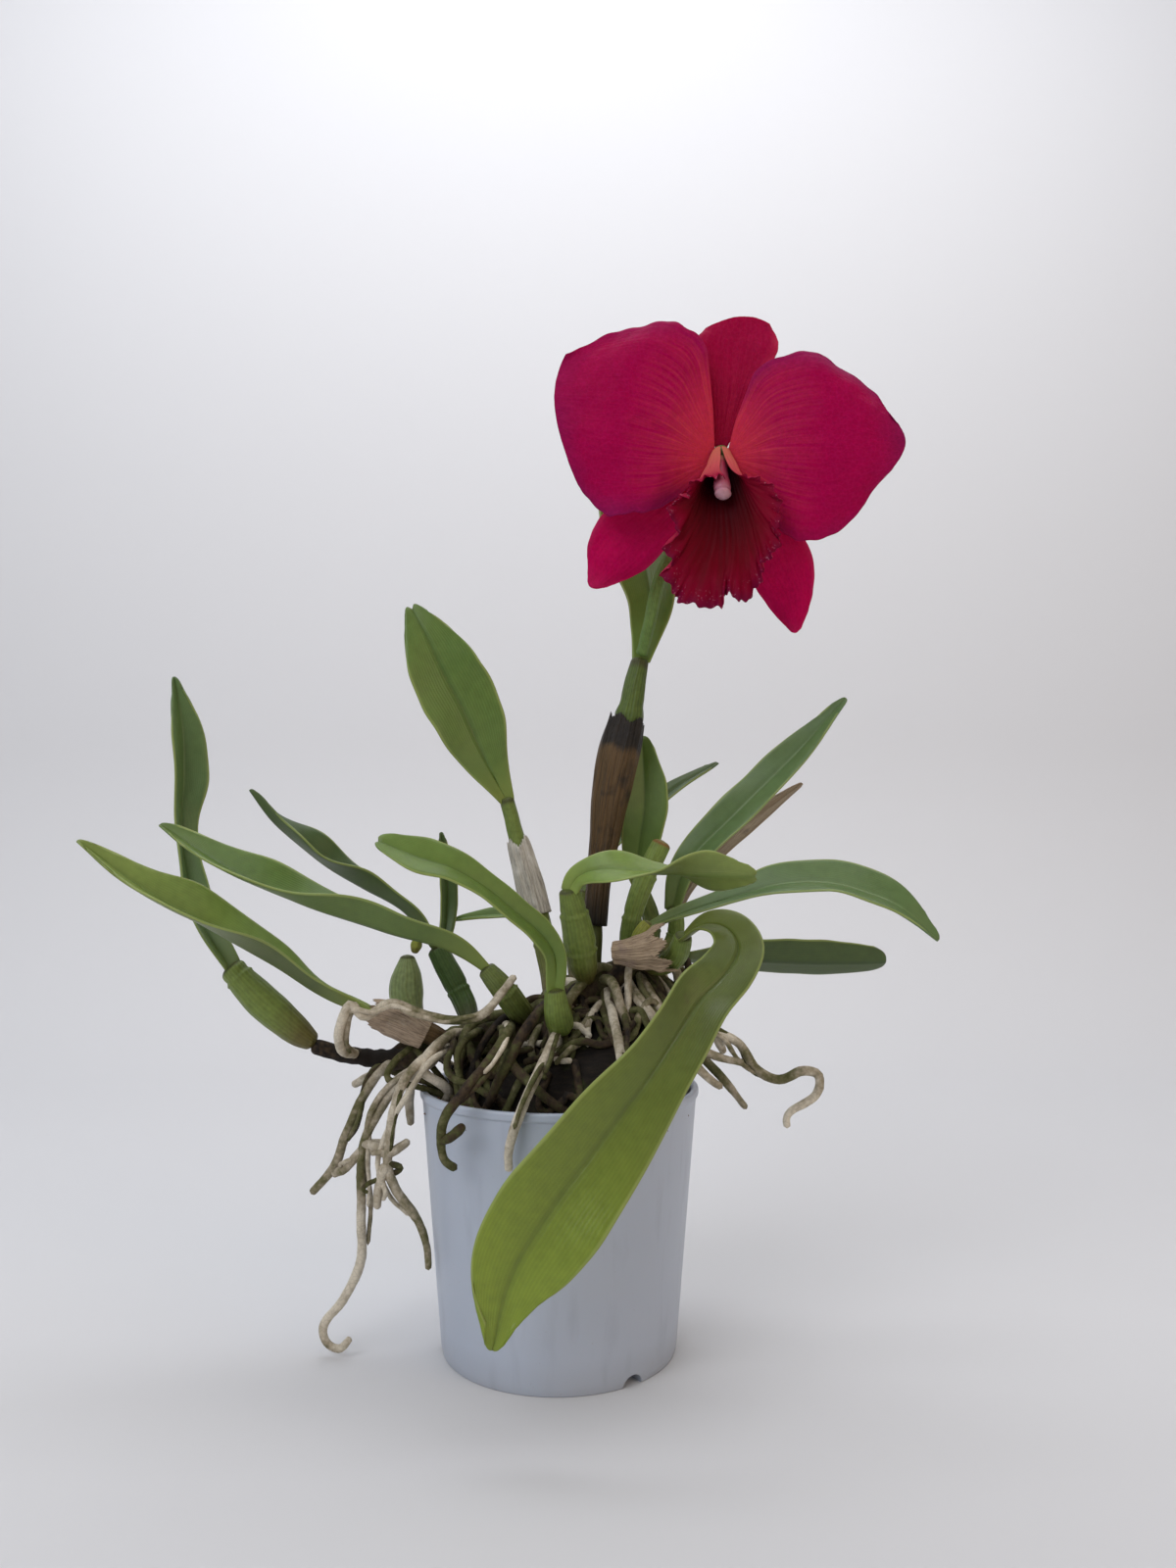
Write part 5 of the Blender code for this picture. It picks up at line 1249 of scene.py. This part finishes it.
def show_tepal(name, slot, low, middle, high, bulge, wave, material, margin, frill=0.0):
    """A petal or sepal with fanning veins, a crumpled surface and a scalloped edge."""
    edges = [[Vector(p) for p in line] for line in (low, middle, high)]
    seed = float(len(name))

    def place(t, v):
        a, b, c = (smooth_curve(line, t) for line in edges)
        out = ease(t * 2.2)
        far = abs(v) ** 4
        scallop = 1 + frill * far * out * (math.sin(26 * t + 5 * v) + 0.6 * math.sin(61 * t))
        point = b + (c - a) * (v * scallop / 2) + (c + a - b * 2) * (v * v / 2)
        point.z += wave * v * v * out * math.sin(9 * t + 4 * v)
        point.z += bulge * out * (1 - v * v) * math.sin(math.pi * t)
        point.z += 14 * frill * far * out * math.sin(34 * t + 3 * v)
        return in_bloom(point)

    def relief(t, v, point):
        out = ease(t * 4)
        vein = 0.07 * math.cos(v * 42 + 1.5 * ripple_noise(point, 14, seed)) * (1 - 0.5 * t)
        rib = -0.45 * bump(v, 0.045) * (1 - t)
        crumple = 0.7 * ripple_noise(point, 11, seed) + 0.25 * ripple_noise(point, 3.6, seed)
        return out * (vein + rib + crumple)

    mesh = skin("shown_" + name, place, *TEPAL_GRID, PETAL_THICKNESS, BLOOM_FACING, relief,
                {"margin": margin}, thin=0.6)
    return new_object("shown_" + name, mesh, material, name, slot)


def lip_point(t, v):
    """The funnel with its scalloped margin: t runs from the base out, v round the foot."""
    reach = LIP_LEFT if v < 0 else LIP_LEFT - (LIP_LEFT - LIP_RIGHT) * t
    turn = math.radians(reach * v)
    points = []
    for right, up, wide, high, top, foot in LIP_RINGS:
        forward = top + (foot - top) * (1 + math.cos(turn)) / 2
        points.append(Vector((right + wide * math.sin(turn), up - high * math.cos(turn),
                              forward)))
    points.append(smooth_curve([Vector(p) for p in LIP_RIM], (v + 1) / 2))
    point = smooth_curve(points, t)
    rim = ease((t - 0.84) / 0.16)
    out = Vector((point.x, point.y + 34, 0)).normalized()
    point += out * rim * (0.7 * math.sin(83 * v) + 0.5 * math.sin(171 * v + 1))
    point.z += rim * (1.0 * math.sin(41 * v) + 0.8 * math.sin(101 * v + 2)) * (1 - v ** 8)
    return in_bloom(point)


def show_lip(material):
    """The lip with fine veins and a softly dented surface."""
    middle = lip_point(0.5, 0.0)
    axis = in_bloom((0, -12, 19))

    def relief(t, v, point):
        vein = 0.09 * math.cos(v * 88) * ease(t * 3)
        return vein + 0.35 * ripple_noise(point, 5, 2.0) * ease(t * 4)

    mesh = skin("shown_lip", lip_point, *LIP_GRID, PETAL_THICKNESS, axis - middle, relief)
    return new_object("shown_lip", mesh, material, "lip", "lip")


def show_column(material):
    """The column with its rounded anther cap and the slit beneath it."""
    spine = [tuple(in_bloom(p) * 1000) for p in ((0, -1, 0.4), (0, -7.2, 6), (0, -14, 10.5),
                                                 (0.5, -19.5, 13.5))]

    def shape(t, angle, point):
        cap = 0.5 * bump(t - 0.93, 0.05) - 0.6 * bump(t - 0.85, 0.02)
        return cap + 0.35 * math.cos(2 * angle) + 0.2 * ripple_noise(point, 4)

    verts, faces, corners = tube(Path(spine), [2.3, 2.6, 3.0, 3.6, 2.8], *COLUMN_GRID,
                                 shape, blunt=1.0)[:3]
    mesh = mesh_from("shown_column", verts, faces, corners)
    return new_object("shown_column", mesh, material, "column", "column")


# Which surface each piece has

# Tint of some roots, or how it runs along them: 1 is dry silver, 0.4 green, 0.1 brown.
ROOT_TINTS = {
    0: lambda t: 0.72 + 0.2 * math.sin(7 * t),
    1: lambda t: 0.4 - 0.2 * t,
    2: 0.2,
    3: lambda t: 0.7 + 0.22 * math.sin(9 * t + 1),
    4: lambda t: 0.78 - 0.15 * t,
    5: 0.66,
    6: lambda t: 0.84 - 0.2 * t,
    11: lambda t: 0.8 + 0.15 * math.sin(8 * t),
    12: 0.72,
    13: lambda t: 0.7 - 0.2 * t,
    16: 0.86,
}

LEAF_FRESH = leaf_cuticle("leaf_green_waxy_cuticle", "52702E", "64783C", "3A521E")
LEAF_YELLOWING = leaf_cuticle("leaf_yellow_green_waxy_cuticle", "6E8A3C", "4C552A", "566F2E",
                              "8C9E4C", "84954A")
LEAF_BLUE = leaf_cuticle("leaf_blue_green_bloomed_cuticle", "547040", "627A4C", "768A58",
                         "6E7E40")
LEAF_DEEP = leaf_cuticle("leaf_deep_green_glossy_cuticle", "3A5224", "4A5C2C", "2A3E18",
                         "566430")
LEAF_BRIGHT = leaf_cuticle("leaf_bright_green_waxy_cuticle", "56702A", "5E7430", "465E20",
                           "748A3C", "6A843A")
# Its yellow-green tip is partly the leaf's own yellowing and partly painted glow of light through
# it.
LEAF_OLIVE = leaf_cuticle("leaf_olive_ageing_cuticle", "4C5A20", "566424", "465220",
                          "66702E", "82962E", 0.9)
LEAF_PAPER = papery_scale("dry_leaf_shrivelled_papery", "A08E74", "6B5550", "5A4740", 0.6)
BULB_GREEN = bulb_skin("bulb_green_waxy_skin", "627436", "78883F", "62582E")
BULB_OLIVE = bulb_skin("bulb_olive_ridged_skin", "586630", "6C763A", "564A2A")
BULB_DEEP = bulb_skin("bulb_deep_green_skin", "364A22", "48602A", "3E3320")
BULB_BROWN = bulb_skin("bulb_dry_brown_skin", "745A3C", "857450", "4A3522")
BULB_YELLOW = bulb_skin("growth_yellow_green_skin", "9C9A42", "86943F", "746830")
BULB_CUT = bulb_skin("stump_cut_green_skin", "7C8E44", "728440", "667438", "7A4620")
BULB_BALL = bulb_skin("new_growth_tender_skin", "7E8E5C", "8E9C66", "A89A80")
STEM_OLIVE = bulb_skin("stem_olive_waxy_skin", "46581F", "54662A", "464820")
STALK_GREEN = bulb_skin("stalk_green_waxy_skin", "607C3A", "6E8640", "5E7A38", "566C34")
SCALE_BLACK = papery_scale("sheath_black_rotted_papery", "5E4728", "1A1511", "12100E", 0.56,
                           0.45, 0.9)
SCALE_SILVER = papery_scale("sheath_silver_dry_fibrous", "BBB5A8", "5A544C", "DAD6CC", 0.5)
SCALE_GREY = papery_scale("sheath_grey_cracked_papery", "B09C86", "4E4038", "CDBDAA", 0.58)
SCALE_BROWN = papery_scale("sheath_brown_dry_papery", "B09A80", "64503E", "84706A", 0.58)
PETAL = velvet_tepal("petal_magenta_velvet_cells", "A80048", "801450", "CC3446", "E0524A",
                     "90003A", "B81E62")
SEPAL = velvet_tepal("sepal_crimson_velvet_cells", "A0003C", "BE2C50", "90002A", "C0303E",
                     "8C0030", "B02A50")
# A lighter copy of the sepal velvet for the lateral sepals: painted light that makes up for the
# shade they fall in.
SEPAL_LOW = velvet_tepal("sepal_crimson_velvet_painted_light", "BE004C", "B82C60", "A00838",
                         "CC3C54", "A4004A", "C02458")

STEM_SKINS = {
    "pseudobulb_upright_left": (BULB_GREEN, "green_stem", (0.3, 0.66)),
    "pseudobulb_low_left": (BULB_BROWN, "dry_scale", (0.5,)),
    "pseudobulb_far_left": (BULB_GREEN, "green_stem", (0.86,)),
    "pseudobulb_front": (BULB_OLIVE, "green_stem", (0.6,)),
    "pseudobulb_dark": (BULB_DEEP, "leaf_dark", (0.5,)),
    "pseudobulb_pale": (BULB_GREEN, "green_stem", (0.5,)),
    "pseudobulb_leaning": (BULB_GREEN, "green_stem", (0.4, 0.75)),
    "flowering_stem": (STEM_OLIVE, "green_stem", (0.35, 0.68, 0.82)),
    "cut_stump": (BULB_CUT, "cut_stem", (0.35, 0.7)),
    "pseudobulb_back_right": (BULB_OLIVE, "green_stem", (0.5,)),
    "pseudobulb_back_left": (BULB_OLIVE, "green_stem", (0.5,)),
    "pseudobulb_right": (BULB_GREEN, "green_stem", (0.5,)),
    "pseudobulb_front_right": (BULB_GREEN, "green_stem", (0.5,)),
    "pseudobulb_low_right": (BULB_YELLOW, "yellow_growth", ()),
    "new_growth": (BULB_BALL, "leaf_light", (0.35,)),
}

LEAF_SKINS = {
    "leaf_upright_left": (LEAF_FRESH, "leaf_green"),
    "leaf_low_left": (LEAF_YELLOWING, "leaf_green"),
    "leaf_far_left": (LEAF_BLUE, "leaf_green"),
    "leaf_long_left": (LEAF_FRESH, "leaf_light"),
    "leaf_back_left": (LEAF_DEEP, "leaf_green"),
    "leaf_pale_front": (LEAF_BRIGHT, "leaf_light"),
    "leaf_narrow_left": (LEAF_DEEP, "leaf_green"),
    "leaf_short_back": (LEAF_FRESH, "leaf_green"),
    "leaf_upright_right": (LEAF_FRESH, "leaf_green"),
    "leaf_behind_stem": (LEAF_DEEP, "leaf_dark"),
    "leaf_ascending_right": (LEAF_BLUE, "leaf_light"),
    "leaf_dry_right": (LEAF_PAPER, "dry_scale"),
    "leaf_arching_right": (LEAF_BLUE, "leaf_green"),
    "leaf_level_right": (LEAF_DEEP, "leaf_dark"),
    "leaf_twisted_middle": (LEAF_YELLOWING, "leaf_light"),
    "leaf_hanging_front": (LEAF_OLIVE, "leaf_light"),
    "leaf_behind_bloom": (LEAF_BRIGHT, "leaf_green"),
}

SHEATH_SKINS = {
    "sheath_black": (SCALE_BLACK, "black_sheath"),
    "sheath_silver": (SCALE_SILVER, "silver_sheath"),
    "sheath_grey": (SCALE_GREY, "silver_sheath"),
    "sheath_dry_right": (SCALE_BROWN, "dry_scale"),
}

# How far each tepal's margin colour reaches: low edge, tip and high edge.
MARGINS = {
    "petal_left": (1.0, 0.8, 0.7),
    "petal_right": (0.7, 0.9, 1.0),
    "dorsal_sepal": (0.3, 0.4, 1.0),
    "lateral_sepal_left": (0.9, 0.8, 0.5),
    "lateral_sepal_right": (0.9, 0.7, 0.6),
}

# Every piece, from the pot upwards

show_pot(moulded_plastic("pot_injection_moulded_polypropylene"))
show_medium(rotted_bark("bark_chunks_weathered", "6B4A30", "1E140C"),
            rotted_bark("bark_chips_broken", "7A5636", "2A1C10"),
            rotted_bark("moss_damp_tufts", "4E5A22", "20280E"))
show_roots(velamen("root_velamen_spongy_dry"))
# The heap's near-black tones are painted shade in the gaps under the roots, over dark litter.
show_heap(rotted_bark("root_litter_and_painted_shade", "1E1710", "080604", "352A1C"))
for name, spine, radii in STEMS:
    material, slot, joints = STEM_SKINS[name]
    show_stem(name, spine, radii, slot, material, joints=joints,
              depth=0.12 if material is BULB_GREEN else 0.28)
for name, spine, widths, facings, options in LEAVES:
    material, slot = LEAF_SKINS[name]
    show_leaf(name, spine, widths, facings, slot, material, **options)
for name, spine, radii, face, span, options in SHEATHS:
    material, slot = SHEATH_SKINS[name]
    show_sheath(name, spine, radii, face, span, slot, material, **options)
knob = in_bloom((0, 0, -0.6)) * 1000
back = in_bloom((0, 0, -14)) * 1000
show_stem("flower_stalk", [(36, 0.5, 297), (40, -1, 313), (44, -1, 330), (53, -2, 350),
                           (62, -8, 366), tuple(back), tuple(knob)],
          [2.6, 2.7, 2.8, 2.8, 3.0, 3.6, 4.4], "green_stem", STALK_GREEN, ridges=6, depth=0.15)
for name, low, middle, high, bulge, wave in TEPALS:
    reach = MARGINS[name]

    def margin(t, v, reach=reach):
        edge = reach[0] * max(0.0, -v) ** 3 + reach[2] * max(0.0, v) ** 3
        return max(edge * ease(t * 2.5), reach[1] * t ** 4)

    petal = name.startswith("petal")
    material = PETAL if petal else (SEPAL_LOW if name.startswith("lateral") else SEPAL)
    show_tepal(name, "petal" if petal else "sepal", low, middle, high, bulge, wave, material,
               margin, 0.012 if petal else 0.006)
show_lip(velvet_lip("lip_crimson_velvet_cells"))
show_column(waxy_column("column_pink_waxy_tissue"))
show_stem("yellow_bud", [(-66, 14, 164.5), (-65, 14, 168), (-64, 13, 172)], [1.4, 2.6, 1.2],
          "yellow_growth", BULB_YELLOW, ridges=5, depth=0.1)


# Stage: a pale sweep, a broad window light and a soft fill

def light(name, place, aim, size, watts, colour):
    """A rectangular light at a place in metres, turned to what it lights."""
    lamp = bpy.data.lights.new(name, "AREA")
    lamp.shape = "RECTANGLE"
    lamp.size, lamp.size_y = size
    lamp.energy = watts
    lamp.color = srgb(colour)[:3]
    obj = put(name, lamp)
    obj.location = place
    obj.rotation_euler = (Vector(aim) - Vector(place)).to_track_quat("-Z", "Y").to_euler()


def show_sweep():
    """Floor and wall in one curved sheet."""
    profile = [(-1.6, 0.0), (0.55, 0.0)]
    profile += [(0.55 + 0.35 * math.sin(a), 0.35 - 0.35 * math.cos(a))
                for a in [math.pi / 2 * k / 12 for k in range(1, 13)]]
    profile.append((0.9, 2.2))
    verts = [(x, y, z) for y, z in profile for x in (-2.5, 2.5)]
    faces = [(2 * k, 2 * k + 1, 2 * k + 3, 2 * k + 2) for k in range(len(profile) - 1)]
    mesh = bpy.data.meshes.new("sweep")
    mesh.from_pydata(verts, [], faces)
    mesh.shade_smooth()
    mesh.materials.append(new_material("sweep_matt_paper", Roughness=0.9,
                                       Base_Color=srgb("DADADB"))[0])
    put("sweep", mesh)


show_sweep()
light("window_light", (-0.9, -1.3, 1.25), (0, 0, 0.22), (1.3, 1.3), 15.5, "FAFAFF")
light("fill_light", (1.3, -1.1, 0.7), (0, 0, 0.2), (1.2, 1.2), 6, "FFDDB8")
light("top_light", (0.1, 0.1, 1.6), (0, 0, 0.2), (1.6, 1.2), 5, "FFFFFF")
light("wall_light", (0.0, 0.25, 1.5), (0, 1.0, 0.5), (1.8, 0.5), 8, "F6F8FF")
world = bpy.data.worlds.new("soft_room")
world.use_nodes = True
room = world.node_tree.nodes["Background"]
room.inputs["Color"].default_value = srgb("DEE4EC")
room.inputs["Strength"].default_value = 0.33
bpy.context.scene.world = world

lens = bpy.data.cameras.new("camera")
lens.lens = CAMERA_LENS
lens.sensor_width = 36.0
lens.clip_start = 0.01
camera = put("camera", lens)
camera.location = CAMERA_PLACE
camera.rotation_euler = (math.radians(CAMERA_PITCH), 0.0, 0.0)
bpy.context.scene.camera = camera
bpy.context.scene.view_settings.view_transform = "Standard"
